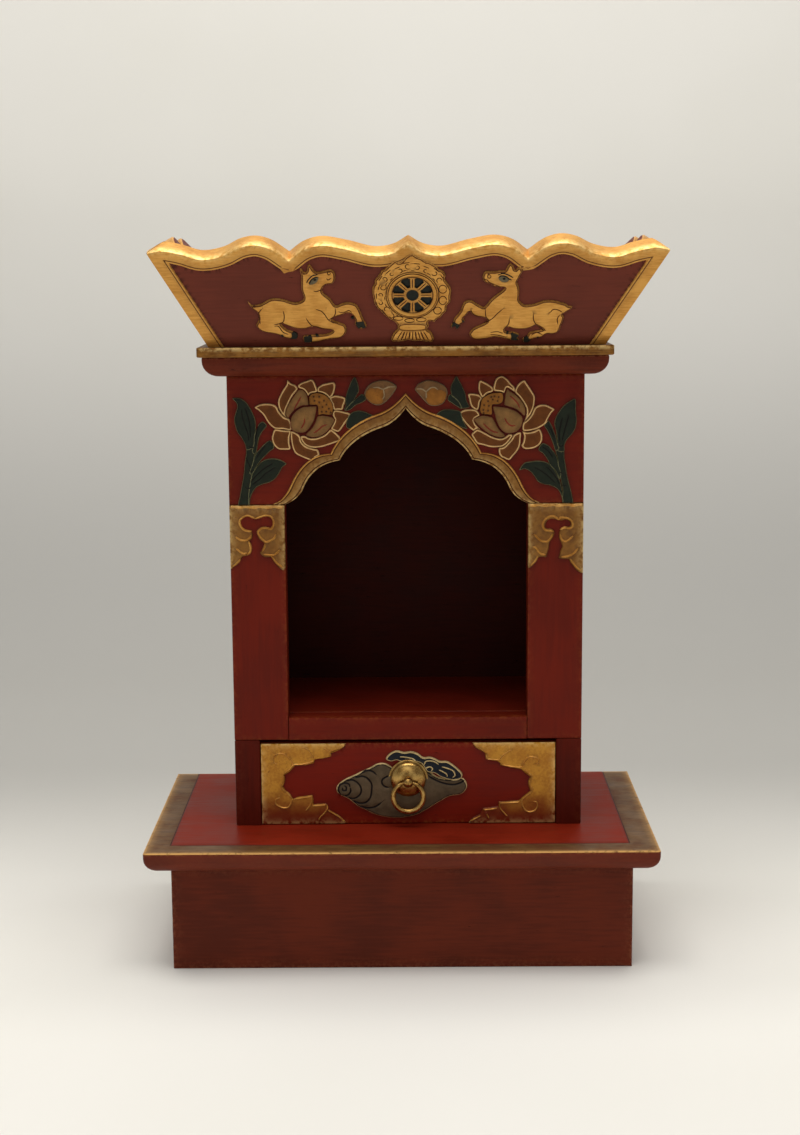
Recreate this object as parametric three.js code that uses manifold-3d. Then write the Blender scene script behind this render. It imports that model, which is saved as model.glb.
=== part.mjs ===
// A household altar cabinet in painted and gilded wood: a moulded base, an arched niche over a drawer,
// and a flared crown of three scalloped boards.
// Millimetres, +Z up, the front faces -Y. The origin is under the middle of the base.
import * as THREE from 'three';
import { mergeVertices } from 'three/addons/utils/BufferGeometryUtils.js';
import Module from 'manifold-3d';

// ---------------------------------------------------------------- driving dimensions
const seam = 0.2;                // glue line left between two boards
const fine = 0.01;               // smallest detail kept when solids are joined
const board = 14;                // thickness of the plinth boards
const base = { width: 325, depth: 182, height: 82, slab: 14, overhang: 15.5, round: 10, shiftX: -1.5 };
const cabinet = { width: 226, front: -33.5, top: 376.4, wall: 16.5, frame: 16, panel: 6.5, shiftX: 2.8 };
const niche = { width: 155.4, floor: 154.3, floorBoard: 8, spring: 294.4 };
const arch = { apex: 355.2, band: 9.8, cuspX: 42, cuspZ: 322.6, lobeX: 13.5, lobeZ: 343.8 };
const drawer = { width: 192.4, height: 54.4, front: 12, recess: 1, opening: 139.5, depth: 108, wall: 8,
  wallHeight: 44, bottom: 4, lift: 3, clearance: 0.5, sideGap: 2 };
const cornice = { overhang: 14, height: 12.4, round: 10 };
const ledge = { overhang: 16.8, height: 6.2 };
const crown = { footHalf: 122.8, tipHalf: 157, footShift: -1.3, shiftX: 2.3, inset: 6.4, rise: 58.6,
  flare: 33.4, thick: 12, band: 8, spill: 14 };   // spill: trimmed off again by the mitres and the ledge
const relief = 0.8;              // height of the carved motifs over their ground
const pull = { z: 112.9, plateR: 13, plateH: 1.4, rimH: 2.2, domeR: 9.6, domeH: 6, neckR: 3.2, eye: 8.6,
  post: 3.7, ringR: 9.8, wire: 1.7, pin: 1, bore: 1.85 };

const slabBottom = base.height - base.slab;
const back = base.depth / 2;
const half = cabinet.width / 2;
const innerHalf = half - cabinet.wall;
const frameBack = cabinet.front + cabinet.frame;
const nicheHalf = niche.width / 2;
const ledgeBottom = cabinet.top + cornice.height;
const ledgeTop = ledgeBottom + ledge.height;
const slant = Math.hypot(crown.rise, crown.flare);
const far = 400;                 // beyond every face of the cabinet

// ---------------------------------------------------------------- materials
const paint = (name, color, roughness, metalness = 0) =>
  new THREE.MeshStandardMaterial({ name, color, roughness, metalness });
const redPaint = () => paint('red_lacquer', 0x7a2013, 0.45);
const brownPaint = () => paint('brown_red_paint', 0x55231a, 0.5);
const crownPaint = () => paint('maroon_paint', 0x5c2a24, 0.5);
const goldLeaf = () => paint('gold_leaf', 0xc19848, 0.4, 0.8);
const darkPaint = () => paint('dark_red_paint', 0x3a0f0a, 0.6);
const brass = () => paint('polished_brass', 0xb5933e, 0.25, 1);

// ---------------------------------------------------------------- solids and booleans
const wasm = await Module();
wasm.setup();

function solidOf(geometry) {
  const g = geometry.clone();
  g.deleteAttribute('normal');
  g.deleteAttribute('uv');
  const merged = mergeVertices(g, 1e-4);
  const index = merged.index.array;
  return new wasm.Manifold(new wasm.Mesh({
    numProp: 3, vertProperties: new Float32Array(merged.attributes.position.array),
    triVerts: new Uint32Array(index) }));
}

// Vertices that a join left closer together than `fine` are drawn into one.
function geometryOf(solid) {
  const mesh = solid.simplify(fine).getMesh();
  const g = new THREE.BufferGeometry();
  g.setAttribute('position', new THREE.BufferAttribute(new Float32Array(mesh.vertProperties), 3));
  g.setIndex(new THREE.BufferAttribute(new Uint32Array(mesh.triVerts), 1));
  g.computeVertexNormals();
  return g;
}

const fuse = (...geometries) => geometryOf(geometries.map(solidOf).reduce((a, b) => a.add(b)));
const cut = (geometry, ...tools) =>
  geometryOf(tools.map(solidOf).reduce((a, b) => a.subtract(b), solidOf(geometry)));

function block(x0, x1, y0, y1, z0, z1) {
  return new THREE.BoxGeometry(x1 - x0, y1 - y0, z1 - z0)
    .translate((x0 + x1) / 2, (y0 + y1) / 2, (z0 + z1) / 2);
}

// A flat plate in the u,v plane from height w0 to w1.
function plate(shape, w0, w1) {
  return new THREE.ExtrudeGeometry(shape, { depth: w1 - w0, bevelEnabled: false }).translate(0, 0, w0);
}

// Turns face coordinates (u right, v up, w out of the face) into a board that faces -Y,
// its foot at the given y and z, leaning forward by the given angle.
function stand(geometry, y, z, lean = 0) {
  return geometry.rotateX(Math.PI / 2 + lean).translate(0, y, z);
}

// The left-right mirror image of a solid, its triangles turned so that they still face out.
function mirrorOf(geometry) {
  const g = geometry.clone().scale(-1, 1, 1);
  const index = g.index.array;
  for (let i = 0; i < index.length; i += 3) {
    [index[i], index[i + 1]] = [index[i + 1], index[i]];
  }
  g.computeVertexNormals();
  return g;
}

// ---------------------------------------------------------------- outlines
const v2 = ([x, y]) => new THREE.Vector2(x, y);
const mirrored = points => points.map(([x, y]) => [-x, y]).reverse();

// A closed smooth outline through hand-set points.
function softShape(points, steps = 2) {
  const curve = new THREE.CatmullRomCurve3(points.map(([x, y]) => new THREE.Vector3(x, y, 0)), true,
    'centripetal');
  return new THREE.Shape(curve.getPoints(points.length * steps).slice(0, -1)
    .map(p => new THREE.Vector2(p.x, p.y)));
}

const sharpShape = points => new THREE.Shape(points.map(v2));

// A leaf or petal: two bowed edges from the root to a pointed tip.
function petal([rootU, rootV], [tipU, tipV], halfWidth, steps = 5) {
  const axis = new THREE.Vector2(tipU - rootU, tipV - rootV);
  const side = new THREE.Vector2(-axis.y, axis.x).normalize();
  const edge = sign => Array.from({ length: steps + 1 }, (_, i) => {
    const t = i / steps;
    const w = sign * halfWidth * (Math.sin(Math.PI * Math.pow(t, 0.85)) + 0.18 * (1 - t));
    return new THREE.Vector2(rootU + axis.x * t + side.x * w, rootV + axis.y * t + side.y * w);
  });
  return new THREE.Shape([...edge(-1), ...edge(1).reverse().slice(1)]);
}

// A stripe of even width along an open line.
function stripe(points, width) {
  const line = new THREE.CatmullRomCurve3(points.map(([x, y]) => new THREE.Vector3(x, y, 0)));
  const steps = points.length * 3;
  const left = [];
  const right = [];
  for (let i = 0; i <= steps; i++) {
    const p = line.getPoint(i / steps);
    const t = line.getTangent(i / steps);
    left.push(new THREE.Vector2(p.x - t.y * width / 2, p.y + t.x * width / 2));
    right.push(new THREE.Vector2(p.x + t.y * width / 2, p.y - t.x * width / 2));
  }
  return new THREE.Shape([...left.reverse(), ...right]);
}

function disc(u, v, radius, segments = 32) {
  return new THREE.Shape(Array.from({ length: segments }, (_, i) => {
    const a = 2 * Math.PI * i / segments;
    return new THREE.Vector2(u + radius * Math.cos(a), v + radius * Math.sin(a));
  }));
}

// ---------------------------------------------------------------- base
// A board with a quarter-round under its front and sides and a plain flat back edge.
function mouldedBoard({ halfWidth, front, bottom, top, round, height, corner }) {
  const w = halfWidth - round;
  const f = front + round;
  const tail = back + 2 * round;
  const shape = new THREE.Shape();
  shape.moveTo(-w, tail);
  shape.lineTo(-w, f + corner);
  shape.quadraticCurveTo(-w, f, -w + corner, f);
  shape.lineTo(w - corner, f);
  shape.quadraticCurveTo(w, f, w, f + corner);
  shape.lineTo(w, tail);
  shape.closePath();
  const body = new THREE.ExtrudeGeometry(shape, { depth: top - bottom, bevelEnabled: true,
    bevelThickness: height, bevelSize: round, bevelSegments: 6, curveSegments: 3 })
    .translate(0, 0, bottom + height);
  return cut(body, block(-far, far, -far, far, top, top + 4 * height),
    block(-far, far, back, back + far, bottom - height, top + height));
}

function baseParts() {
  const w = base.width / 2 - base.overhang;
  const front = -base.depth / 2 + base.overhang;
  const top = slabBottom - seam;
  const slab = mouldedBoard({ halfWidth: base.width / 2, front: -base.depth / 2, bottom: slabBottom,
    top: base.height, round: base.round, height: base.round, corner: 2 });
  return [
    ['plinth_front_board', block(-w, w, front, front + board, 0, top), brownPaint()],
    ['plinth_back_board', block(-w, w, back - board, back, 0, top), brownPaint()],
    ['plinth_left_board', block(-w, -w + board, front + board + seam, back - board - seam, 0, top),
      brownPaint()],
    ['plinth_right_board', block(w - board, w, front + board + seam, back - board - seam, 0, top),
      brownPaint()],
    ['plinth_top_slab', slab, redPaint()],
  ];
}

// ---------------------------------------------------------------- cabinet carcass
// A side board in profile: full depth beside the drawer, cut back above it to take the front frame.
function sideBoard(x0) {
  const foot = base.height + seam;
  const top = cabinet.top - seam;
  const shape = sharpShape([[cabinet.front, foot], [back, foot], [back, top], [frameBack + seam, top],
    [frameBack + seam, drawer.opening], [cabinet.front, drawer.opening]]);
  return plate(shape, 0, cabinet.wall).rotateX(Math.PI / 2).rotateZ(Math.PI / 2).translate(x0, 0, 0);
}

function carcassParts() {
  const panelFront = back - cabinet.panel;
  return [
    ['cabinet_left_side', sideBoard(-half), redPaint()],
    ['cabinet_right_side', sideBoard(half - cabinet.wall), redPaint()],
    ['cabinet_back_panel', block(-innerHalf + seam, innerHalf - seam, panelFront, back,
      base.height + seam, cabinet.top - seam), darkPaint()],
    ['niche_floor_board', block(-innerHalf + seam, innerHalf - seam, frameBack + seam,
      panelFront - seam, niche.floor - niche.floorBoard, niche.floor), redPaint()],
    ['front_rail', block(-nicheHalf + seam, nicheHalf - seam, cabinet.front, frameBack,
      drawer.opening, niche.floor), redPaint()],
  ];
}

// ---------------------------------------------------------------- stiles with gilded brackets
// One bracket, drawn on the left stile: a gold field with a two-lobed cut-out and curled lower edges.
function bracketShape() {
  const outer = -half;
  const inner = -nicheHalf;
  const topZ = niche.spring - seam;
  const edge = [[inner, 253], [-82.5, 254.5], [-87, 260.4], [-91, 260.8], [-94, 263.3], [-91.5, 268],
    [-93.8, 272], [-95.7, 277.2], [-93, 280.2], [-87, 279.4], [-85, 283], [-87, 286.8], [-92, 287],
    [-96, 285], [-100, 287.3], [-105, 286.3], [-106.5, 283], [-104, 278.4], [-99, 277.6], [-98.4, 275],
    [-100.8, 271], [-100, 265], [-102, 261.6], [-105, 261], [-109, 255], [outer, 253.3]];
  return sharpShape([[outer, topZ], ...[...edge].reverse(), [inner, topZ]]);
}

function stile() {
  const shape = sharpShape([[-half, drawer.opening + seam], [-nicheHalf, drawer.opening + seam],
    [-nicheHalf, niche.spring - seam], [-half, niche.spring - seam]]);
  return fuse(plate(shape, -cabinet.frame, 0), plate(bracketShape(), -relief, relief));
}

function stileParts() {
  const left = stand(stile(), cabinet.front, 0);
  const right = stand(mirrorOf(stile()), cabinet.front, 0);
  return [
    ['front_stile_left', left, redPaint()],
    ['front_stile_right', right, redPaint()],
  ];
}

// ---------------------------------------------------------------- arch board
// The cusped ogee in halves of four bows: each row is a point and the way it moves as the line grows
// outwards. Ends of bows alternate with the points that pull them round.
const ogeePoints = [
  [[0, arch.apex], [0, 1]], [[6, 347], [0.1, 0.95]], [[arch.lobeX, arch.lobeZ], [0.25, 0.9]],
  [[35, 337], [0.5, 0.8]], [[arch.cuspX, arch.cuspZ], [0.62, 0.42]],
  [[60, 320], [0.4, 0.75]], [[66, 303.5], [0.75, 0.4]],
  [[70, 297], [0.8, 0]], [[nicheHalf, niche.spring], [0.75, 0]],
];

// Half of the ogee, from the apex down to the springing, moved out by `grow`.
function ogee(grow, steps = 7) {
  const moved = ogeePoints.map(([[x, z], [dx, dz]]) => new THREE.Vector2(x + dx * grow, z + dz * grow));
  const run = [moved[0]];
  for (let i = 0; i + 2 < moved.length; i += 2) {
    run.push(...new THREE.QuadraticBezierCurve(moved[i], moved[i + 1], moved[i + 2]).getPoints(steps)
      .slice(1));
  }
  return run;
}

// The whole ogee from the left springing over the apex to the right one.
function wholeOgee(grow) {
  const right = ogee(grow).map(p => [p.x, p.y]);
  return [...mirrored(right), ...right.slice(1)];
}

// Petals of the left lotus: tip, root and half width.
const lotusPetals = [
  [[-97.5, 355.5], [-72, 342], 7], [[-75.7, 373], [-72, 345], 7], [[-60, 374], [-63, 348], 7.5],
  [[-45.8, 372.2], [-57, 350], 6.5], [[-38.3, 361.2], [-60, 348], 6.5], [[-35.7, 352], [-60, 344], 7.5],
  [[-42.5, 335.5], [-68, 341], 7], [[-57.5, 325.5], [-71, 343], 6.5], [[-80.5, 330], [-72, 344], 6.5],
];
const lotusHeart = [
  [[-66.5, 368.5], [-72, 344], 6.5], [[-55.5, 356.5], [-71, 342], 7], [[-45, 347], [-66, 339.5], 5.5],
];
const leaves = [
  [[-109.8, 361.8], [-98.5, 331], 4.4], [[-76.3, 320], [-102, 307], 5.2], [[-89.5, 348], [-99, 328], 2.6],
  [[-84, 334], [-99, 314], 2.8], [[-19.5, 349.8], [-38, 344.5], 4.4], [[-33.6, 375.6], [-37.5, 354], 3.8],
  [[-26, 362.5], [-38, 354.5], 2.2],
];
const stem = [[-104.5, 294.8], [-103, 307], [-100.5, 318], [-99, 332]];
const bud = { u: -16.5, v: 365, long: 10.3, short: 8 };

function floralShapes() {
  const egg = Array.from({ length: 20 }, (_, i) => {
    const a = 2 * Math.PI * i / 20;
    return [bud.u + bud.long * Math.cos(a), bud.v + bud.short * Math.sin(a) * (1 - 0.25 * Math.cos(a))
      + 2 * Math.cos(a)];
  });
  return {
    low: [...[...lotusPetals, ...leaves].map(([tip, root, w]) => petal(root, tip, w)), stripe(stem, 6),
      sharpShape(egg)],
    high: [...lotusHeart.map(([tip, root, w]) => petal(root, tip, w)), disc(-53, 359, 6.5, 16)],
  };
}

function archBoard() {
  const inner = wholeOgee(0);
  const outer = wholeOgee(arch.band);
  const top = cabinet.top - seam;
  const outline = [[-half, niche.spring], ...inner, [half, niche.spring], [half, top], [-half, top]];
  const { low, high } = floralShapes();
  const leftCarving = fuse(...low.map(s => plate(s, -relief, relief)),
    ...high.map(s => plate(s, -relief, 2 * relief)));
  const carving = cut(fuse(leftCarving, mirrorOf(leftCarving)),
    block(-far, far, -far, niche.spring, -far, far), block(-far, far, top, far, -far, far),
    plate(sharpShape([...inner, [nicheHalf, 0], [-nicheHalf, 0]]), -2 * relief, 4 * relief));
  const solid = fuse(plate(sharpShape(outline), -cabinet.frame, 0),
    plate(sharpShape([...inner, ...[...outer].reverse()]), -relief, 1.2 * relief), carving);
  return [['arch_board', stand(solid, cabinet.front, 0), redPaint()]];
}

// ---------------------------------------------------------------- cornice
function corniceParts() {
  const moulding = mouldedBoard({ halfWidth: half + cornice.overhang, front: cabinet.front
    - cornice.overhang, bottom: cabinet.top, top: ledgeBottom - seam, round: cornice.round,
    height: cornice.round, corner: 2 });
  const out = half + ledge.overhang;
  const strip = block(-out, out, cabinet.front - ledge.overhang, back, ledgeBottom, ledgeTop);
  return [
    ['cornice_moulding', moulding, brownPaint()],
    ['cornice_ledge', strip, goldLeaf()],
  ];
}

// ---------------------------------------------------------------- crown
// Height of the scalloped top edge at each feature, by distance in from the outer tip.
const scallop = [[0, 66.8], [8.5, 68.2], [20, 66], [32, 62.2], [45, 64.5], [56, 70.2], [65, 71.8],
  [74, 69.2], [84.8, 61]];
const innerScallop = [[84.8, 61], [94, 68.2], [104.5, 71.2], [120, 68.5], [137, 64], [148, 65.8],
  [157, 71.5]];

function smoothRun(points, steps) {
  const curve = new THREE.CatmullRomCurve3(points.map(([x, y]) => new THREE.Vector3(x, y, 0)), false,
    'centripetal');
  return curve.getPoints((points.length - 1) * steps).map(p => [p.x, p.y]);
}

const scallopRun = [...smoothRun(scallop, 3), ...smoothRun(innerScallop, 3).slice(1)];

// The side boards carry the same scallops up to their second peak, then run out level to the back.
const sideTail = [[84.8, 61], [94, 68.2], [104.5, 71.2], [118, 68.5], [134, 64.2], [150, 63], [180, 63]];
const sideRun = [...smoothRun(scallop, 3), ...smoothRun(sideTail, 3).slice(1)];

// A band of the board's face along its scalloped edge and down its slanted end.
function bandShape(run, endSlope) {
  const inside = run.filter(([d]) => d > crown.band).map(([d, v]) => [d, v - crown.band]);
  const endBand = 1.25 * crown.band;
  const endLine = v => endSlope * (slant - v) + endBand;
  const cornerV = slant - 1.5 * crown.band;
  return [...run, ...inside.reverse().filter(([d, v]) => d > endLine(v)), [endLine(cornerV), cornerV],
    [endLine(0), 0], [endSlope * slant, 0]];
}

const deerOutline = [
  [-98.5, 32.7], [-96.2, 30.2], [-93, 30.2], [-90, 31.1], [-84, 34.4], [-80.5, 34.6], [-76.5, 33.9],
  [-69.5, 31.6], [-65, 33.2], [-64, 35.2], [-65.2, 41], [-65, 50.5], [-65.6, 54], [-65, 55.5],
  [-62.8, 52.8], [-61.5, 53.5], [-60.4, 57.9], [-59.4, 58.1], [-57.5, 54.6], [-55.5, 53], [-51.5, 53.6],
  [-47, 54.5], [-45, 53], [-44.4, 48.6], [-46, 45], [-50.3, 44], [-52.6, 41], [-52.4, 38.8],
  [-47.9, 34.2], [-44.7, 29.4], [-40.3, 31], [-36.5, 31.6], [-32, 29.8], [-30.2, 26.5], [-28.4, 21],
  [-26.1, 14.3], [-27.8, 12.8], [-31, 12.9], [-33, 15.6], [-33, 19.5], [-36.2, 23.9], [-41, 22.8],
  [-47, 19.8], [-42.9, 17.3], [-39.5, 15.5], [-38.6, 11], [-41.5, 6.8], [-50.5, 5.1], [-57.2, 3.4],
  [-65, 3.4], [-65.3, 7.6], [-60, 8.4], [-50.3, 9.3], [-47, 11.5], [-53.5, 12.9], [-58.4, 14.5],
  [-64, 13], [-68.4, 13], [-73, 14.4], [-78.7, 16.8], [-75.6, 12.8], [-69.2, 9.4], [-69.3, 6],
  [-76, 6.3], [-81.4, 8.9], [-91.2, 11.6], [-94.2, 15.5], [-92.5, 19.5], [-93, 24.7], [-96.3, 28],
];
const wheel = { u: 2.4, v: 36.4, rim: 18.6, windows: 8, window: [5.4, 14.4], opening: [0.17, 0.3], hub: 3.9,
  collar: 25, lobes: 13, lobe: 0.9, peak: 2.6 };
// The stand under the wheel, measured from the wheel's centre.
const wheelFoot = [[-9, -20], [8.5, -20], [9, -24], [7, -26], [13, -32], [9, -33], [-10, -33],
  [-13.5, -32], [-8, -26], [-10, -24]];

function wheelCarving() {
  const { u, v, lobes } = wheel;
  const at = (r, a) => [u + r * Math.cos(a), v + r * Math.sin(a)];
  const steps = 6 * lobes;
  const cloud = Array.from({ length: steps }, (_, i) => {
    const a = 2 * Math.PI * i / steps - Math.PI / 2;
    const peak = wheel.peak * Math.max(0, Math.sin(a)) ** 12;
    return at(wheel.collar + wheel.lobe * Math.abs(Math.sin(lobes * a / 2)) + peak, a);
  });
  const [r0, r1] = wheel.window;
  const [a0, a1] = wheel.opening;
  const windows = Array.from({ length: wheel.windows }, (_, k) => {
    const mid = 2 * Math.PI * (k + 0.5) / wheel.windows;
    return plate(sharpShape([at(r0, mid - a0), at(r1, mid - a1), at(r1, mid), at(r1, mid + a1),
      at(r0, mid + a0)]), 0.1 * relief, 4 * relief);
  });
  const rim = plate(disc(u, v, wheel.rim), -relief, 2 * relief);
  const hub = plate(disc(u, v, wheel.hub, 16), -relief, 2.6 * relief);
  const foot = sharpShape(wheelFoot.map(([x, y]) => [u + x, v + y]));
  return fuse(cut(fuse(plate(sharpShape(cloud), -relief, relief), rim), ...windows),
    plate(foot, -relief, relief), hub);
}

// The board before its mitres: it runs past both corner lines and below the ledge.
function crownBlank(points) {
  const first = points[0];
  const last = points[points.length - 1];
  const shape = sharpShape([...points, [last[0], -crown.spill], [first[0], -crown.spill]].reverse());
  return plate(shape, -crown.thick, 0);
}

function crownFront() {
  const tipV = scallopRun[0][1];
  const out = crown.tipHalf + crown.spill;
  const left = scallopRun.map(([d, v]) => [d - crown.tipHalf, v]);
  const top = [[-out, tipV], ...left, ...mirrored(left).slice(1), [out, tipV]];
  const endSlope = (crown.tipHalf - crown.footHalf) / slant;
  const band = bandShape(scallopRun, endSlope).map(([d, v]) => [d - crown.tipHalf, v]).reverse();
  const flat = shape => plate(shape, -relief, relief);
  const otherDeer = mirrored(deerOutline).map(([u, v]) => [1.02 * u + 0.3, v]);
  return fuse(crownBlank(top), flat(softShape(deerOutline, 1)), flat(softShape(otherDeer, 1)),
    flat(sharpShape(band)), flat(sharpShape(mirrored(band))), wheelCarving());
}

const crownSide = () => fuse(crownBlank([[-crown.spill, sideRun[0][1]], ...sideRun]));

// Everything on one side of the vertical mitre through a front corner of the crown.
function beyondMitre(footX, footY, tipX, tipY, away) {
  const angle = Math.atan2(tipY - footY, tipX - footX);
  return block(-far, far, -seam / 2, far, 0, 2 * far)
    .rotateZ(angle + (away ? Math.PI : 0)).translate(footX, footY, 0);
}

function crownParts() {
  const footY = cabinet.front - ledge.overhang + crown.inset;
  const tipY = footY - crown.flare;
  const leftFoot = crown.footShift - crown.footHalf;
  const rightFoot = crown.footShift + crown.footHalf;
  const lean = Math.atan2(crown.flare, crown.rise);
  const foot = ledgeTop + seam;
  const under = block(-far, far, -far, far, 0, foot);
  const behind = block(-far, far, back, far, 0, 2 * far);
  const front = stand(crownFront(), footY, foot, lean);
  const mitreLeft = [leftFoot, footY, -crown.tipHalf, tipY];
  const mitreRight = [rightFoot, footY, crown.tipHalf, tipY];
  const side = (sign) => {
    const footX = sign < 0 ? leftFoot : rightFoot;
    const sideLean = Math.atan2(crown.tipHalf - Math.abs(footX), crown.rise);
    const flat = sign < 0 ? mirrorOf(crownSide()) : crownSide();
    return stand(flat, 0, 0, sideLean).rotateZ(sign * Math.PI / 2).translate(footX, tipY, foot);
  };
  const frontBoard = cut(front, under, beyondMitre(...mitreLeft, true), beyondMitre(...mitreRight, false));
  const leftBoard = cut(side(-1), under, behind, beyondMitre(...mitreLeft, false));
  const rightBoard = cut(side(1), under, behind, beyondMitre(...mitreRight, true));
  return [
    ['crown_front_board', frontBoard, crownPaint()],
    ['crown_left_board', leftBoard, crownPaint()],
    ['crown_right_board', rightBoard, crownPaint()],
  ];
}

// ---------------------------------------------------------------- drawer
// Inner edges of the gilded corners, drawn from the top edge round to the bottom edge.
const leftScroll = [[-40, 54.4], [-42.5, 51.4], [-50, 48.4], [-50.2, 45.2], [-60.5, 43.6], [-61.5, 40.9],
  [-67, 39.6], [-73, 39.8], [-77.5, 35], [-81, 33], [-80, 29.5], [-82.2, 25.4], [-77.5, 19.5], [-75.5, 17],
  [-72.5, 18.2], [-63, 19.5], [-62.3, 13.4], [-54, 13.9], [-52.4, 9.5], [-46, 6], [-41, 0]];
const conchBody = [[-46.5, 24.5], [-44.5, 27.4], [-36, 32.4], [-26, 37.2], [-19, 40.6], [-13, 39.8],
  [-7, 35.5], [13, 35], [24, 31.5], [35.5, 31], [38.2, 26], [35, 20.2], [26.5, 18], [12.5, 9.9],
  [4.5, 6], [-4, 4.2], [-12, 4.3], [-22, 6.6], [-33, 12.2], [-44, 19.2]];
const conchLip = [[-14.2, 43.5], [-12.5, 47], [-7.5, 49.4], [-2, 48.4], [4, 48.4], [10, 45], [15.5, 45],
  [21.5, 42], [26, 41.8], [33, 36.5], [35.6, 32], [30, 29.4], [22, 31.5], [11.5, 35], [8.5, 41.4],
  [-7, 43.6], [-11, 41.8]];

function drawerFace() {
  const w = drawer.width / 2;
  const h = drawer.height;
  const corner = [[-w, h], [-w, 0], ...[...leftScroll].reverse()];
  const carving = [sharpShape(corner), sharpShape(mirrored(corner)), softShape(conchBody),
    softShape(conchLip)];
  return fuse(block(-w, w, 0, h, -drawer.front, 0), ...carving.map(s => plate(s, -relief, relief)));
}

function drawerParts() {
  const face = cabinet.front + drawer.recess + relief;
  const z0 = base.height + drawer.clearance;
  const y0 = face + drawer.front + seam;
  const y1 = face + drawer.depth;
  const w = innerHalf - drawer.sideGap;
  const floorZ = z0 + drawer.lift;
  const wallTop = z0 + drawer.wallHeight;
  const t = drawer.wall;
  return [
    ['drawer_front', stand(drawerFace(), face, z0), redPaint()],
    ['drawer_left_side', block(-w, -w + t, y0, y1, z0, wallTop), darkPaint()],
    ['drawer_right_side', block(w - t, w, y0, y1, z0, wallTop), darkPaint()],
    ['drawer_back', block(-w + t + seam, w - t - seam, y1 - t, y1, z0, wallTop), darkPaint()],
    ['drawer_bottom', block(-w + t + seam, w - t - seam, y0, y1 - t - seam, floorZ,
      floorZ + drawer.bottom), darkPaint()],
  ];
}

// ---------------------------------------------------------------- ring pull
const pullFace = cabinet.front + drawer.recess - seam;

// A round plate with a raised rim, a dome in it and a post whose eye takes the ring.
function rosette() {
  const { plateR, plateH, rimH, domeR, domeH, neckR, post, eye } = pull;
  const tip = eye + post;
  const dome = Array.from({ length: 7 }, (_, i) => {
    const t = (i + 1) / 7;
    const rise = Math.sin(t * Math.PI / 2);
    return [domeR - (domeR - neckR) * rise * rise * t, plateH + (domeH - plateH) * rise];
  });
  const profile = [[0, 0], [plateR, 0], [plateR, rimH / 2], [plateR - 0.7, rimH],
    [plateR - 1.8, plateH + 0.2], [domeR, plateH], ...dome, [0.8 * post, eye - 2], [post, eye],
    [0.75 * post, tip - 1], [0, tip]];
  const body = new THREE.LatheGeometry(profile.map(v2), 32).rotateX(Math.PI);
  const bore = new THREE.CylinderGeometry(pull.bore, pull.bore, 4 * post, 16).rotateZ(Math.PI / 2)
    .translate(0, -eye, 0);
  return cut(body, bore).translate(0, pullFace, pull.z);
}

// The ring's wire is thin where it passes through the eye of the post.
function ring() {
  const thinTo = 0.42;
  const fullFrom = 0.72;
  const wireAt = a => THREE.MathUtils.lerp(pull.pin, pull.wire,
    THREE.MathUtils.clamp((Math.abs(a) - thinTo) / (fullFrom - thinTo), 0, 1));
  const torus = new THREE.TorusGeometry(pull.ringR, pull.wire, 10, 44);
  torus.rotateZ(Math.PI / 2);
  const p = torus.attributes.position;
  const v = new THREE.Vector3();
  for (let i = 0; i < p.count; i++) {
    v.fromBufferAttribute(p, i);
    const a = Math.atan2(v.x, v.y);
    const mid = new THREE.Vector3(pull.ringR * Math.sin(a), pull.ringR * Math.cos(a), 0);
    v.sub(mid).multiplyScalar(wireAt(a) / pull.wire).add(mid);
    p.setXYZ(i, v.x, v.y, v.z);
  }
  return geometryOf(solidOf(torus)).rotateX(Math.PI / 2)
    .translate(0, pullFace - pull.eye, pull.z - pull.ringR);
}

function pullParts() {
  return [
    ['pull_rosette', rosette(), brass()],
    ['pull_ring', ring(), brass()],
  ];
}

// ---------------------------------------------------------------- assembly
function groupOf(entries) {
  const group = new THREE.Group();
  for (const [name, geometry, material] of entries) {
    const mesh = new THREE.Mesh(geometry, material);
    mesh.name = name;
    group.add(mesh);
  }
  return group;
}

const altar = new THREE.Group();
const lower = groupOf(baseParts());
lower.position.x = base.shiftX;
const upper = groupOf([...carcassParts(), ...stileParts(), ...archBoard(), ...corniceParts()]);
upper.position.x = cabinet.shiftX;
const crownGroup = groupOf(crownParts());
crownGroup.position.x = crown.shiftX;
const drawerGroup = groupOf([...drawerParts(), ...pullParts()]);
upper.add(crownGroup, drawerGroup);
altar.add(lower, upper);

export default altar;
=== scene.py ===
"""Looks of the household altar cabinet: carved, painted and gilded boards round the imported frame.

Boards are made in millimetres in their own face coordinates (u right, v up, w out of the face),
then placed in the part's frame in metres.
"""
import math

import bmesh
import bpy
import numpy as np
from mathutils import Matrix, Vector, geometry


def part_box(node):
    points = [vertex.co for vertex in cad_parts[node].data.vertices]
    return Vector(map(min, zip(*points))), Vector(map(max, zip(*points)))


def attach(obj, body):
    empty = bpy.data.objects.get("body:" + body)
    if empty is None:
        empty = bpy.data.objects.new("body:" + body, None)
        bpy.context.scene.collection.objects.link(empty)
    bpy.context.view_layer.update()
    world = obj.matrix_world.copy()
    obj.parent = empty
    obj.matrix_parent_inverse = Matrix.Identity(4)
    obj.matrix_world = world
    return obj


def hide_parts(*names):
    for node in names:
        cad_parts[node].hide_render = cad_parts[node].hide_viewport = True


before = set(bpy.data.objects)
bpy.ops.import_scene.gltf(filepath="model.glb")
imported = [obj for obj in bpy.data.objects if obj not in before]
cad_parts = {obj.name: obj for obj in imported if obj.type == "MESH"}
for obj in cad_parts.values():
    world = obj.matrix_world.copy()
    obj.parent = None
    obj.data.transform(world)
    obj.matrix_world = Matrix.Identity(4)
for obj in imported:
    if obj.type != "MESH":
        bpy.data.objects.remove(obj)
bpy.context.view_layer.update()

MM = 0.001


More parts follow.
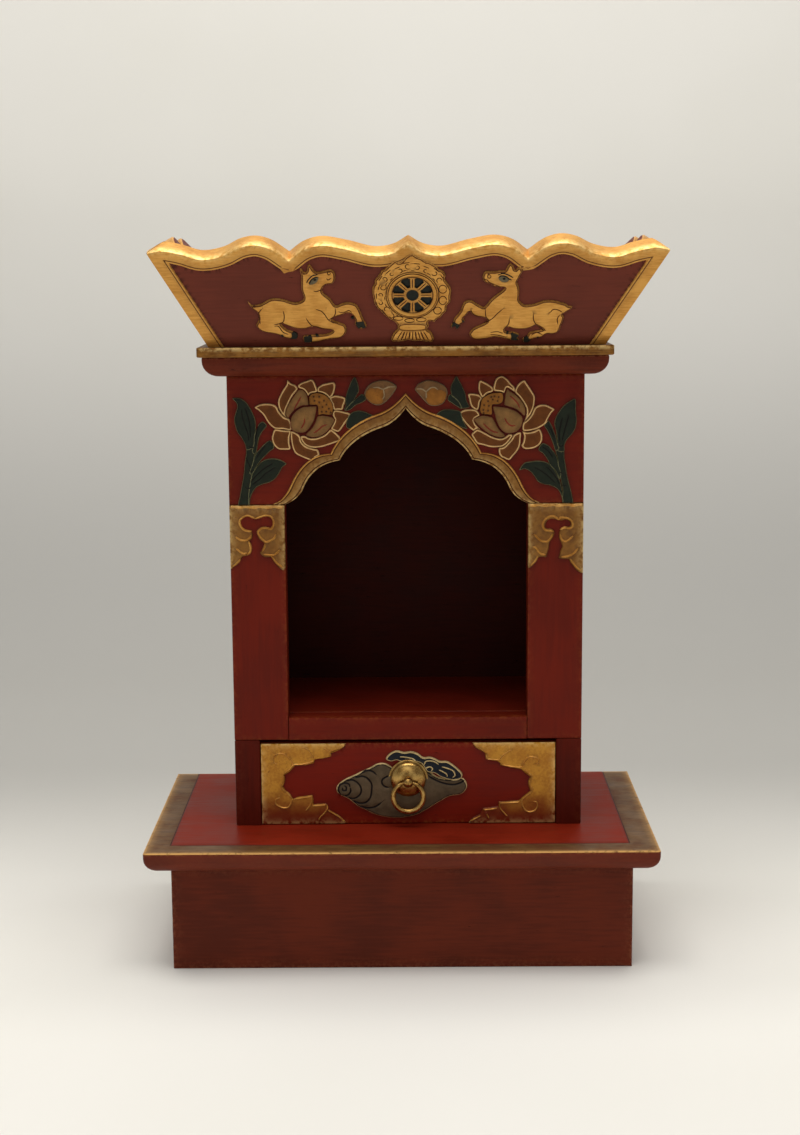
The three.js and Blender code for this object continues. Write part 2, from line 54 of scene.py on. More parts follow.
# ------------------------------------------------------------------ the frame's measures, in mm
def box(node):
    """A CAD node's lowest and highest corners in millimetres."""
    low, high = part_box(node)
    return np.array(low) / MM, np.array(high) / MM


def middle(node):
    low, high = box(node)
    return (low + high) / 2


CABINET_X = middle("cornice_moulding")[0]
FACE_Y = box("front_rail")[0][1]
FRAME_BACK = box("front_rail")[1][1]
BACK_Y = box("plinth_top_slab")[1][1]
SPRING = box("arch_board")[0][2]
BOARD_TOP = box("arch_board")[1][2]
RAIL_FOOT = box("front_rail")[0][2]
HALF = (box("cabinet_right_side")[1][0] - box("cabinet_left_side")[0][0]) / 2
NICHE_HALF = HALF - (box("front_stile_left")[1][0] - box("front_stile_left")[0][0])
CROWN_FOOT = box("crown_front_board")[0][2]
RELIEF = 0.8
LINE = 0.3


# ------------------------------------------------------------------ lines in a board's face
def resample(points, closed=True, step=1.5):
    """Straight runs through the points, cut into short steps."""
    p = np.array(points, float)
    ends = np.roll(p, -1, 0) if closed else p[1:]
    out = []
    for a, b in zip(p, ends):
        n = max(1, math.ceil(np.hypot(*(b - a)) / step))
        t = np.arange(n)[:, None] / n
        out.append(a + (b - a) * t)
    if not closed:
        out.append(p[-1:])
    return np.vstack(out)


def curve(points, closed=True, step=0.8):
    """A smooth line through the points (centripetal Catmull-Rom), cut into short steps."""
    p = np.array(points, float)
    if closed:
        ring = np.vstack([p[-1:], p, p[:2]])
    else:
        ring = np.vstack([2 * p[:1] - p[1:2], p, 2 * p[-1:] - p[-2:-1]])
    out = []
    for a, b, c, d in zip(ring, ring[1:], ring[2:], ring[3:]):
        t1 = max(np.hypot(*(b - a)), 1e-6) ** 0.5
        t2 = t1 + max(np.hypot(*(c - b)), 1e-6) ** 0.5
        t3 = t2 + max(np.hypot(*(d - c)), 1e-6) ** 0.5
        n = max(1, math.ceil(np.hypot(*(c - b)) / step))
        t = (t1 + (t2 - t1) * np.arange(n) / n)[:, None]
        a1 = ((t1 - t) * a + t * b) / t1
        a2 = ((t2 - t) * b + (t - t1) * c) / (t2 - t1)
        a3 = ((t3 - t) * c + (t - t2) * d) / (t3 - t2)
        b1 = ((t2 - t) * a1 + t * a2) / t2
        b2 = ((t3 - t) * a2 + (t - t1) * a3) / (t3 - t1)
        out.append(((t2 - t) * b1 + (t - t1) * b2) / (t2 - t1))
    if not closed:
        out.append(p[-1:])
    return np.vstack(out)


def circle(u, v, radius, step=0.8, start=0.0, end=2 * math.pi):
    n = max(12, math.ceil(abs(end - start) * radius / step))
    a = start + (end - start) * np.arange(n) / n
    return np.stack([u + radius * np.cos(a), v + radius * np.sin(a)], 1)


def mirror(points, centre=0.0):
    p = np.array(points, float)[::-1].copy()
    p[:, 0] = 2 * centre - p[:, 0]
    return p


def area(ring):
    x, y = ring.T
    return 0.5 * np.sum(x * np.roll(y, -1) - y * np.roll(x, -1))


def normals(line, closed=True):
    """Unit normals to the left of a line at its points."""
    if closed:
        t = np.roll(line, -1, 0) - np.roll(line, 1, 0)
    else:
        t = np.gradient(line, axis=0)
    t /= np.maximum(np.hypot(t[:, 0], t[:, 1]), 1e-9)[:, None]
    return np.stack([-t[:, 1], t[:, 0]], 1)


def distance(points, line, closed=True):
    """Distance from each point to a line, and where along the line the nearest place is, in mm."""
    a = line if closed else line[:-1]
    b = np.roll(line, -1, 0) if closed else line[1:]
    run = b - a
    length2 = np.maximum((run ** 2).sum(1), 1e-12)
    start = np.concatenate([[0], np.cumsum(np.sqrt(length2))[:-1]])
    best = np.empty(len(points))
    along = np.empty(len(points))
    block = max(1, 2_000_000 // len(a))
    for i in range(0, len(points), block):
        p = points[i:i + block, None]
        t = np.clip(((p - a) * run).sum(2) / length2, 0, 1)
        gap = p - (a + run * t[..., None])
        d2 = (gap ** 2).sum(2)
        k = d2.argmin(1)
        row = np.arange(len(k))
        best[i:i + block] = np.sqrt(d2[row, k])
        along[i:i + block] = start[k] + t[row, k] * np.sqrt(length2[k])
    return best, along


def inside(points, ring):
    a, b = ring, np.roll(ring, -1, 0)
    rise = np.where(np.abs(b[:, 1] - a[:, 1]) < 1e-12, 1e-12, b[:, 1] - a[:, 1])
    out = np.zeros(len(points), bool)
    block = max(1, 4_000_000 // len(a))
    for i in range(0, len(points), block):
        x = points[i:i + block, 0:1]
        y = points[i:i + block, 1:2]
        crosses = (a[:, 1] > y) != (b[:, 1] > y)
        at = a[:, 0] + (y - a[:, 1]) * (b[:, 0] - a[:, 0]) / rise
        out[i:i + block] = (crosses & (x < at)).sum(1) % 2 == 1
    return out


def ease(x):
    x = np.clip(x, 0, 1)
    return x * x * (3 - 2 * x)


# ------------------------------------------------------------------ carving
class Region:
    """A closed shape raised from a board or sunk in it, with a painted rim inside its edge."""

    def __init__(self, points, height, paint, wall=0.45, dome=0.0, reach=3.0, rim=0.0, rim_paint=None,
                 rim_height=0.15, shade=(1.0, 1.0), sharp=False, step=0.8, groove=0.0):
        self.line = resample(points, True, step) if sharp else curve(points, True, step)
        if area(self.line) < 0:
            self.line = self.line[::-1].copy()
        self.height, self.paint, self.wall = height, paint, wall
        self.dome, self.reach, self.shade = dome, reach, shade
        self.rim, self.rim_paint, self.rim_height = rim, rim_paint, rim_height
        self.groove = groove
        self.low = self.line.min(0) - 1.5
        self.high = self.line.max(0) + 1.5

    def rows(self):
        steps = [0.0, self.wall]
        if self.rim:
            steps += [self.rim, self.rim + 0.4]
        if self.dome:
            steps += [0.4 * self.reach, 0.8 * self.reach]
        if self.groove:
            steps += [self.groove - LINE, self.groove + LINE]
        n = normals(self.line)
        for s in steps:
            row = self.line + n * s
            if s:
                d, _ = distance(row, self.line)
                row = row[d > 0.85 * s]
            yield row
        yield self.line - n * 0.35

    def near(self, points):
        return ((points > self.low) & (points < self.high)).all(1)

    def signed(self, points):
        d, _ = distance(points, self.line)
        return np.where(inside(points, self.line), d, -d)

    def lay(self, points, level, tone, grime):
        pick = np.flatnonzero(self.near(points))
        if not len(pick):
            return
        d = self.signed(points[pick])
        k = ease((d + 0.02) / self.wall)
        top = self.height + self.dome * np.sqrt(1 - (1 - np.clip(d / self.reach, 0, 1)) ** 2)
        if self.rim:
            top = top + self.rim_height * (1 - ease((d - self.rim) / 0.3))
        if self.groove:
            top = top - 0.25 * np.exp(-((d - self.groove) / LINE) ** 2)
        level[pick] += (top - level[pick]) * k
        edge, centre = self.shade
        within = d > 0
        fade = edge + (centre - edge) * ease(d / self.reach)
        tone[pick] = np.where(within, fade, tone[pick])
        # Darkens the ground at the foot of the raised edge and just inside it: soiling and painted shade in
        # the crease.
        foot = 0.75 * np.exp(-np.maximum(-d, 0) / 0.35) * (d <= 0.05)
        grime[pick] = np.where(within, 0.3 * np.exp(-d / 0.3), np.maximum(grime[pick], foot))

    def cover(self, points, codes):
        if self.paint is None:
            return
        pick = np.flatnonzero(self.near(points))
        if not len(pick):
            return
        d = self.signed(points[pick])
        codes[pick[d > 0]] = PAINTS[self.paint]
        if self.rim_paint:
            codes[pick[(d > 0) & (d < self.rim)]] = PAINTS[self.rim_paint]
        if self.groove:
            codes[pick[np.abs(d - self.groove) < LINE]] = PAINTS["gold_line"]


class Stroke:
    """A raised cord or an incised line of even width that may thin out towards its ends."""

    def __init__(self, points, width, height, paint=None, closed=False, taper=0.0, sharp=False,
                 step=0.7):
        self.line = resample(points, closed, step) if sharp else curve(points, closed, step)
        self.closed, self.width, self.height = closed, width, height
        self.paint, self.taper = paint, taper
        runs = np.hypot(*np.diff(self.line, axis=0).T)
        self.length = runs.sum()
        reach = width / 2 + 0.6
        self.low = self.line.min(0) - reach
        self.high = self.line.max(0) + reach

    def half(self, along):
        if not self.taper or self.closed:
            return np.full(len(along), self.width / 2)
        near_end = np.minimum(along, self.length - along) / self.taper
        return self.width / 2 * (0.3 + 0.7 * np.sqrt(np.clip(near_end, 0, 1)))

    def rows(self):
        n = normals(self.line, self.closed)
        _, along = distance(self.line, self.line, self.closed)
        half = self.half(along)[:, None]
        for s in (-1, 0, 1):
            yield self.line + n * half * s

    def lay(self, points, level, tone, grime):
        pick = np.flatnonzero(((points > self.low) & (points < self.high)).all(1))
        if not len(pick):
            return
        d, along = distance(points[pick], self.line, self.closed)
        t = d / self.half(along)
        k = 1 - ease(t)
        level[pick] += self.height * k
        # Darkens incised lines and the ground beside raised cords: soiling and painted shade in grooves and
        # creases.
        if self.height < 0:
            grime[pick] = np.maximum(grime[pick], 0.7 * k)
        else:
            beside = np.exp(-np.abs(t - 1.15) / 0.25) * (t > 1)
            grime[pick] = np.maximum(grime[pick] * (1 - k), 0.6 * beside)

    def cover(self, points, codes):
        if self.paint is None:
            return
        pick = np.flatnonzero(((points > self.low) & (points < self.high)).all(1))
        if not len(pick):
            return
        d, along = distance(points[pick], self.line, self.closed)
        codes[pick[d < self.half(along)]] = PAINTS[self.paint]


class Bands:
    """Flat raised bands along both sides of some lines, with an incised line inside their edge."""

    def __init__(self, lines, width, height, paint, inset):
        self.lines, self.width, self.height = lines, width, height
        self.paint, self.cut = paint, width - inset

    def reach(self, points):
        return np.min([distance(points, line, False)[0] for line in self.lines], 0)

    def rows(self):
        for line in self.lines:
            n = normals(line, False)
            for s in (self.width, self.width - 0.5, self.cut + LINE, self.cut - LINE):
                yield line + n * s
                yield line - n * s

    def lay(self, points, level, tone, grime):
        d = self.reach(points)
        level[:] = np.maximum(level, self.height * (1 - ease((d - self.width + 0.5) / 0.5)))
        cut = np.exp(-((d - self.cut) / LINE) ** 2)
        level -= 0.25 * cut
        # Darkens the incised line and the ground at the foot of the bands: soiling and painted shade.
        foot = 0.7 * np.exp(-(d - self.width) / 0.4) * (d >= self.width)
        grime[:] = np.maximum(grime, np.maximum(0.5 * cut, foot))

    def cover(self, points, codes):
        d = self.reach(points)
        codes[d < self.width] = PAINTS[self.paint]
        codes[np.abs(d - self.cut) < LINE] = PAINTS["gold_line"]


# ------------------------------------------------------------------ paints
def tint(r, g, b):
    """A screen colour (0-255) as linear light."""
    c = np.array([r, g, b]) / 255
    return tuple(np.where(c <= 0.04045, c / 12.92, ((c + 0.055) / 1.055) ** 2.4))


# name: (colour, the board material that carries it)
PALETTE = {
    "ground": ((120, 30, 18), "ground"),
    "back": ((90, 40, 25), "back"),
    "side": ((90, 40, 25), "side"),
    "gold": ((222, 172, 84), "gold"),
    "dull": ((150, 104, 50), "dull"),
    "border": ((150, 104, 58), "border"),
    "gold_line": ((96, 52, 20), "motif"),
    "border_line": ((84, 28, 18), "motif"),
    "window": ((30, 34, 30), "motif"),
    "petal": ((118, 66, 22), "motif"),
    "cream": ((222, 182, 124), "motif"),
    "inner": ((132, 96, 54), "motif"),
    "crimson": ((124, 40, 26), "motif"),
    "pod": ((150, 96, 34), "motif"),
    "dot": ((80, 44, 20), "motif"),
    "leaf": ((28, 35, 24), "motif"),
    "leaf_light": ((122, 122, 86), "motif"),
    "vein": ((12, 14, 10), "motif"),
    "bud": ((124, 88, 52), "motif"),
    "calyx": ((160, 138, 104), "motif"),
    "conch": ((92, 76, 56), "motif"),
    "conch_line": ((18, 15, 14), "motif"),
    "lip": ((24, 29, 38), "motif"),
    "frill": ((206, 182, 130), "motif"),
    "hoof": ((32, 34, 26), "motif"),
    "eye": ((112, 102, 78), "motif"),
    "pupil": ((18, 15, 13), "motif"),
}
PAINTS = {name: i for i, name in enumerate(PALETTE)}
NAMES = list(PALETTE)


# ------------------------------------------------------------------ boards
def thin_out(points, cell):
    """At most one point in each square cell."""
    keys = np.round(points / cell).astype(np.int64)
    _, first = np.unique(keys, axis=0, return_index=True)
    return points[np.sort(first)]


def filler(ring, taken, cell):
    """A staggered grid inside the outline, clear of the places already taken."""
    low, high = ring.min(0), ring.max(0)
    rows = np.arange(low[1] + cell / 2, high[1], cell * 0.866)
    cols = np.arange(low[0] + cell / 2, high[0], cell)
    grid = [np.stack([cols + (cell / 2 if i % 2 else 0), np.full(len(cols), y)], 1)
            for i, y in enumerate(rows)]
    grid = np.vstack(grid)
    grid = grid[inside(grid, ring)]
    size = 0.9 * cell
    shift = np.array([(i, j) for i in (0, 1) for j in (0, 1)]) * 0.5
    keep = np.ones(len(grid), bool)
    for s in shift:
        full = np.unique(np.floor(taken / size + s).astype(np.int64), axis=0)
        full = set(map(tuple, full))
        keys = np.floor(grid / size + s).astype(np.int64)
        keep &= np.array([tuple(k) not in full for k in keys])
    return grid[keep]


def triangulate(ring, loose):
    """Triangles inside the outline through all the points."""
    points = [ring]
    edges = [(i, (i + 1) % len(ring)) for i in range(len(ring))]
    if len(loose):
        points.append(loose)
    p = np.vstack(points)
    made = geometry.delaunay_2d_cdt([Vector(q) for q in p], edges, [], 1, 1e-4)
    verts = np.array([tuple(v) for v in made[0]])
    faces = np.array([f for f in made[2] if len(f) == 3])
    mid = verts[faces].mean(1)
    faces = faces[inside(mid, ring)]
    a, b, c = verts[faces[:, 0]], verts[faces[:, 1]], verts[faces[:, 2]]
    twice = (b[:, 0] - a[:, 0]) * (c[:, 1] - a[:, 1]) - (b[:, 1] - a[:, 1]) * (c[:, 0] - a[:, 0])
    flip = twice < 0
    faces[flip] = faces[flip][:, ::-1]
    used = np.unique(faces)
    new = np.full(len(verts), -1)
    new[used] = np.arange(len(used))
    return verts[used], new[faces]


def border_loop(faces):
    """The outer border of a patch of triangles, in order."""
    sides = np.vstack([faces[:, [0, 1]], faces[:, [1, 2]], faces[:, [2, 0]]])
    known = set(map(tuple, sides))
    follow = {a: b for a, b in known if (b, a) not in known}
    start = next(iter(follow))
    loop = [start]
    while follow[loop[-1]] != start:
        loop.append(follow[loop[-1]])
    return np.array(loop)


class Board:
    """A board carved on its face. wall lists (inset, w) rows from under the face to the back."""

    def __init__(self, outline, thick, carving=(), arris=0.6, cell=2.2, wall=None, shrink=None,
                 wall_paint="ground", back_paint="back", sharp=True, step=1.6, uneven=0.06):
        ring = resample(outline, True, step) if sharp else np.array(outline, float)
        if area(ring) < 0:
            ring = ring[::-1].copy()
        rows = [row for f in carving for row in f.rows()]
        n = normals(ring)
        rows += [ring + n * s for s in (0.3 * arris, arris, 2 * arris + 0.6)]
        loose = thin_out(np.vstack(rows), 0.22)
        loose = loose[inside(loose, ring)]
        gap, _ = distance(loose, ring)
        loose = loose[gap > 0.12]
        loose = np.vstack([loose, filler(ring, np.vstack([loose, ring]), cell)])
        p, faces = triangulate(ring, loose)
        level = np.zeros(len(p))
        tone = np.ones(len(p))
        # Per-point darkening in hollows and at the feet of carving: soiling and painted shade.
        grime = np.zeros(len(p))
        for f in carving:
            f.lay(p, level, tone, grime)
        mid = p[faces].mean(1)
        codes = np.full(len(faces), PAINTS["ground"])
        for f in carving:
            f.cover(mid, codes)
        edge, _ = distance(p, ring)
        back_in = np.clip(arris - edge, 0, arris)
        level = level - (arris - np.sqrt(arris ** 2 - back_in ** 2))
        level += uneven * np.sin(p[:, 0] / 23 + 1.3) * np.sin(p[:, 1] / 31 + 0.4)
        # Nearness to the face's edge: the paints lighten it as worn arrises, and the gilt also as a painted
        # highlight on the arrises.
        edge_wear_and_highlight = np.exp(-edge / 1.4)
        self.points = [np.column_stack([p, level])]
        self.tone, self.grime, self.edge_wear_and_highlight = [tone], [grime], [edge_wear_and_highlight]
        self.faces, self.codes = [faces], [codes]
        loop = border_loop(faces)
        rows = wall or [(0.0, -thick / 2), (0.0, -thick + arris), (arris, -thick)]
        self.skirt(p[loop], loop, rows, shrink, PAINTS[wall_paint], PAINTS[back_paint])

    def skirt(self, ring, loop, rows, shrink, wall_code, back_code):
        """The board's edges below the face's border, and its back."""
        last = loop
        count = len(self.points[0])
        inward = normals(ring)
        for inset, w in rows:
            flat = shrink(ring, inset) if shrink else ring + inward * inset
            self.points.append(np.column_stack([flat, np.full(len(flat), w)]))
            here = count + np.arange(len(flat))
            a, b = last, np.roll(last, -1)
            c, d = np.roll(here, -1), here
            self.faces.append(np.vstack([np.stack([a, d, c], 1), np.stack([a, c, b], 1)]))
            self.codes.append(np.full(2 * len(flat), wall_code))
            last = here
            count += len(flat)
        v, f = triangulate(flat, np.empty((0, 2)))
        match = {tuple(np.round(q, 4)): i for q, i in zip(flat, last)}
        index = np.array([match.get(tuple(np.round(q, 4)), -1) for q in v])
        if (index < 0).any():
            spare = np.flatnonzero(index < 0)
            index[spare] = count + np.arange(len(spare))
            self.points.append(np.column_stack([v[spare], np.full(len(spare), rows[-1][1])]))
        self.faces.append(index[f][:, ::-1])
        self.codes.append(np.full(len(f), back_code))

    def build(self, name, origin, across, up, out, materials, trims=()):
        """The finished mesh object, placed by its origin (mm) and its three axes."""
        p = np.vstack(self.points)
        turn = np.array([across, up, out], float)
        world = (np.array(origin, float) + p @ turn) * MM
        faces = np.vstack(self.faces)
        codes = np.concatenate(self.codes)
        extra = len(p) - len(self.tone[0])
        tone = np.concatenate([self.tone[0], np.ones(extra)])
        grime = np.concatenate([self.grime[0], np.zeros(extra)])
        edge_wear_and_highlight = np.concatenate([self.edge_wear_and_highlight[0], np.full(extra, 0.06)])
        mesh = bpy.data.meshes.new(name)
        mesh.from_pydata(world.tolist(), [], faces.tolist())
        kinds = list(materials)
        for kind in kinds:
            mesh.materials.append(materials[kind])
        slots = np.array([kinds.index(PALETTE[n][1]) if PALETTE[n][1] in kinds else 0 for n in NAMES])
        mesh.polygons.foreach_set("material_index", slots[codes])
        colours = np.array([tint(*PALETTE[n][0]) for n in NAMES])
        rgba = np.ones((len(faces) * 3, 4))
        rgba[:, :3] = np.repeat(colours[codes], 3, 0) * tone[faces.ravel()][:, None]
        mesh.attributes.new("pigment", "FLOAT_COLOR", "CORNER").data.foreach_set("color", rgba.ravel())
        mesh.attributes.new("grime", "FLOAT", "POINT").data.foreach_set("value", grime)
        mesh.attributes.new("edge_wear_and_highlight", "FLOAT", "POINT").data.foreach_set("value", edge_wear_and_highlight)
        if trims:
            trim(mesh, trims)
        return finish_piece(name, mesh)


def trim(mesh, planes):
    """Cuts off everything in front of each plane (point in mm, direction) and closes the cut."""
    bm = bmesh.new()
    bm.from_mesh(mesh)
    for point, direction in planes:
        geom = bm.verts[:] + bm.edges[:] + bm.faces[:]
        cut = bmesh.ops.bisect_plane(bm, geom=geom, dist=1e-7, plane_co=Vector(point) * MM,
                                     plane_no=Vector(direction), clear_outer=True)
        edges = [e for e in cut["geom_cut"] if isinstance(e, bmesh.types.BMEdge) and e.is_boundary]
        bmesh.ops.triangle_fill(bm, use_beauty=True, edges=edges)
    bmesh.ops.recalc_face_normals(bm, faces=bm.faces[:])
    bm.to_mesh(mesh)
    bm.free()


def finish_piece(name, mesh, angle=42):
    mesh.validate()
    mesh.shade_smooth()
    mesh.set_sharp_from_angle(angle=math.radians(angle))
    piece = bpy.data.objects.new(name, mesh)
    bpy.context.scene.collection.objects.link(piece)
    return piece


def settle(piece, body, slot, *nodes):
    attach(piece, body)
    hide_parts(*nodes)
    return piece


# ------------------------------------------------------------------ materials
class Graph:
    """Writes one node material round a Principled shader."""

    def __init__(self, name, roughness=0.5, metallic=0.0, specular=0.5, coat=0.0):
        self.material = bpy.data.materials.new(name)
        self.material.use_nodes = True
        self.tree = self.material.node_tree
        self.tree.nodes.clear()
        out = self.node("ShaderNodeOutputMaterial")
        self.shader = self.node("ShaderNodeBsdfPrincipled")
        self.shader.inputs["Roughness"].default_value = roughness
        self.shader.inputs["Metallic"].default_value = metallic
        self.shader.inputs["Specular IOR Level"].default_value = specular
        self.shader.inputs["Coat Weight"].default_value = coat
        self.shader.inputs["Coat Roughness"].default_value = 0.25
        self.link(self.shader.outputs[0], out.inputs["Surface"])
        self.place = self.node("ShaderNodeTexCoord").outputs["Object"]

    def node(self, kind, **settings):
        made = self.tree.nodes.new(kind)
        for key, value in settings.items():
            setattr(made, key, value)
        return made

    def link(self, start, end):
        self.tree.links.new(start, end)

    def feed(self, socket, value):
        if isinstance(value, (int, float)):
            socket.default_value = value
        elif isinstance(value, tuple):
            socket.default_value = (*value, 1.0) if len(value) == 3 else value
        else:
            self.link(value, socket)

    def noise(self, size_mm, detail=4.0, rough=0.55, stretch=(1, 1, 1), shift=0.0, warp=0.0):
        """Noise with features of about size_mm, drawn out by stretch."""
        scaled = self.node("ShaderNodeVectorMath", operation="MULTIPLY_ADD")
        self.link(self.place, scaled.inputs[0])
        scaled.inputs[1].default_value = tuple(1 / s for s in stretch)
        scaled.inputs[2].default_value = (shift, shift * 0.7, shift * 1.3)
        made = self.node("ShaderNodeTexNoise")
        self.link(scaled.outputs[0], made.inputs["Vector"])
        made.inputs["Scale"].default_value = 1000 / size_mm
        made.inputs["Detail"].default_value = detail
        made.inputs["Roughness"].default_value = rough
        made.inputs["Distortion"].default_value = warp
        return made.outputs["Fac"]

    def attribute(self, name, output="Fac"):
        return self.node("ShaderNodeAttribute", attribute_name=name).outputs[output]

    def span(self, value, low, high, to_low=0.0, to_high=1.0):
        made = self.node("ShaderNodeMapRange", interpolation_type="SMOOTHSTEP")
        self.feed(made.inputs["Value"], value)
        made.inputs["From Min"].default_value = low
        made.inputs["From Max"].default_value = high
        made.inputs["To Min"].default_value = to_low
        made.inputs["To Max"].default_value = to_high
        return made.outputs["Result"]

    def math(self, operation, a, b=0.0):
        made = self.node("ShaderNodeMath", operation=operation)
        self.feed(made.inputs[0], a)
        self.feed(made.inputs[1], b)
        return made.outputs[0]

    def mix(self, share, a, b, blend="MIX"):
        made = self.node("ShaderNodeMix", data_type="RGBA", blend_type=blend)
        self.feed(made.inputs[0], share)
        self.feed(made.inputs[6], a)
        self.feed(made.inputs[7], b)
        return made.outputs[2]

    def bump(self, height, distance_mm, strength=1.0, under=None):
        made = self.node("ShaderNodeBump")
        made.inputs["Strength"].default_value = strength
        made.inputs["Distance"].default_value = distance_mm * MM
        self.link(height, made.inputs["Height"])
        if under:
            self.link(under, made.inputs["Normal"])
        return made.outputs["Normal"]

    def finish(self, colour, roughness=None, normal=None, metallic=None):
        self.feed(self.shader.inputs["Base Color"], colour)
        if roughness is not None:
            self.link(roughness, self.shader.inputs["Roughness"])
        if metallic is not None:
            self.link(metallic, self.shader.inputs["Metallic"])
        if normal is not None:
            self.link(normal, self.shader.inputs["Normal"])
        return self.material


AXES = {"x": (14, 1, 1), "y": (1, 14, 1), "z": (1, 1, 14)}


def old_paint(name, colour, along="x", vary=0.15, gloss=0.45, specular=0.12, flakes=0.66,
              worn=(150, 92, 44), edge_wear_and_highlight=0.6):
    """Old paint on wood: nearly plain, with faint grain, a few dark flakes and rubbed arrises."""
    g = Graph(name, gloss, specular=specular)
    grain = AXES[along]
    streak = g.noise(1.8, 4, 0.55, grain)
    blotch = g.noise(42, 3, 0.5)
    fine = g.noise(0.7, 2, 0.5, shift=3)
    paint = np.array(tint(*colour))
    tone = g.math("ADD", g.math("MULTIPLY", streak, 0.45), g.math("MULTIPLY", blotch, 0.55))
    body = g.mix(g.span(tone, 0.36, 0.62), tuple(paint * (1 - vary)), tuple(paint * (1 + vary)))
    patch = g.span(g.noise(16, 3, 0.6, shift=9), 0.42, 0.62)
    flake = g.span(g.noise(1.5, 3, 0.65, tuple(s ** 0.7 for s in grain), 5), flakes, flakes + 0.05)
    flake = g.math("MULTIPLY", flake, patch)
    body = g.mix(g.math("MULTIPLY", flake, 0.8), body, tuple(paint * 0.22))
    rub_and_highlight = g.math("MULTIPLY", g.attribute("edge_wear_and_highlight"), g.span(g.noise(2.4, 4, 0.65, shift=2), 0.44, 0.62))
    rub_and_highlight = g.math("MULTIPLY", rub_and_highlight, edge_wear_and_highlight)
    body = g.mix(rub_and_highlight, body, tint(*worn))
    # Soiling and painted shade darken the crevices and the feet of the carving.
    soil_and_shade_mix = g.math("MULTIPLY", g.attribute("grime"), g.span(g.noise(5, 2, 0.5, shift=7), 0.2, 0.7, 0.5, 0.9))
    body = g.mix(soil_and_shade_mix, body, tint(20, 8, 6))
    rough = g.span(tone, 0.36, 0.62, gloss - 0.06, gloss + 0.12)
    rough = g.math("MAXIMUM", rough, g.math("MULTIPLY", flake, 0.75))
    height = g.math("ADD", g.math("MULTIPLY", streak, 0.4), g.math("MULTIPLY", fine, 0.2))
    height = g.math("SUBTRACT", height, g.math("MULTIPLY", flake, 0.5))
    height = g.math("SUBTRACT", height, g.math("MULTIPLY", rub_and_highlight, 0.3))
    return g.finish(body, rough, g.bump(height, 0.16, 0.6))


def red_lacquer(along):
    return old_paint("red_lacquer_" + along, (102, 25, 9), along, worn=(150, 80, 36), edge_wear_and_highlight=0.4)


def slab_lacquer():
    return old_paint("slab_lacquer", (122, 32, 14), "x", 0.16, 0.45, 0.08, 0.67, (206, 132, 84), 0.7)


def drawer_lacquer():
    return old_paint("drawer_lacquer", (114, 23, 6), "x", 0.12, 0.42, 0.12, 0.66, (170, 100, 50))


def crown_paint(along):
    return old_paint("crown_paint_" + along, (106, 50, 37), along, 0.1, 0.5, 0.1, 0.66, (170, 120, 80))


def plinth_paint(along):
    return old_paint("plinth_paint_" + along, (94, 36, 19), along, 0.2, 0.48, 0.1, 0.66, (150, 90, 60))


def side_paint(along):
    return old_paint("side_paint_" + along, (82, 20, 8), along, 0.16, 0.46, 0.08, 0.65, (110, 50, 28), 0.25)


def inner_paint(along):
    return old_paint("inner_paint_" + along, (50, 14, 7), along, 0.18, 0.55, 0.06, 0.65, (90, 46, 26))


def bare_wood(along):
    """Old unpainted softwood, greyed and stained."""
    g = Graph("bare_wood_" + along, 0.7, specular=0.2)
    grain = AXES[along]
    rings = g.noise(2.6, 4, 0.6, grain, warp=0.4)
    pores = g.noise(0.5, 3, 0.6, tuple(s * 1.6 for s in grain), 4)
    stain = g.noise(45, 3, 0.6, shift=8)
    body = g.mix(g.span(rings, 0.35, 0.65), tint(96, 62, 38), tint(148, 104, 66))
    body = g.mix(g.span(pores, 0.55, 0.75, 0, 0.7), body, tint(62, 38, 24))
    body = g.mix(g.span(stain, 0.45, 0.75, 0, 0.55), body, tint(74, 44, 30))
    rub_and_highlight = g.math("MULTIPLY", g.attribute("edge_wear_and_highlight"), 0.35)
    body = g.mix(rub_and_highlight, body, tint(168, 126, 84))
    rough = g.span(rings, 0.3, 0.7, 0.6, 0.85)
    height = g.math("ADD", g.math("MULTIPLY", rings, 0.5), g.math("MULTIPLY", pores, -0.5))
    return g.finish(body, rough, g.bump(height, 0.25, 0.8))


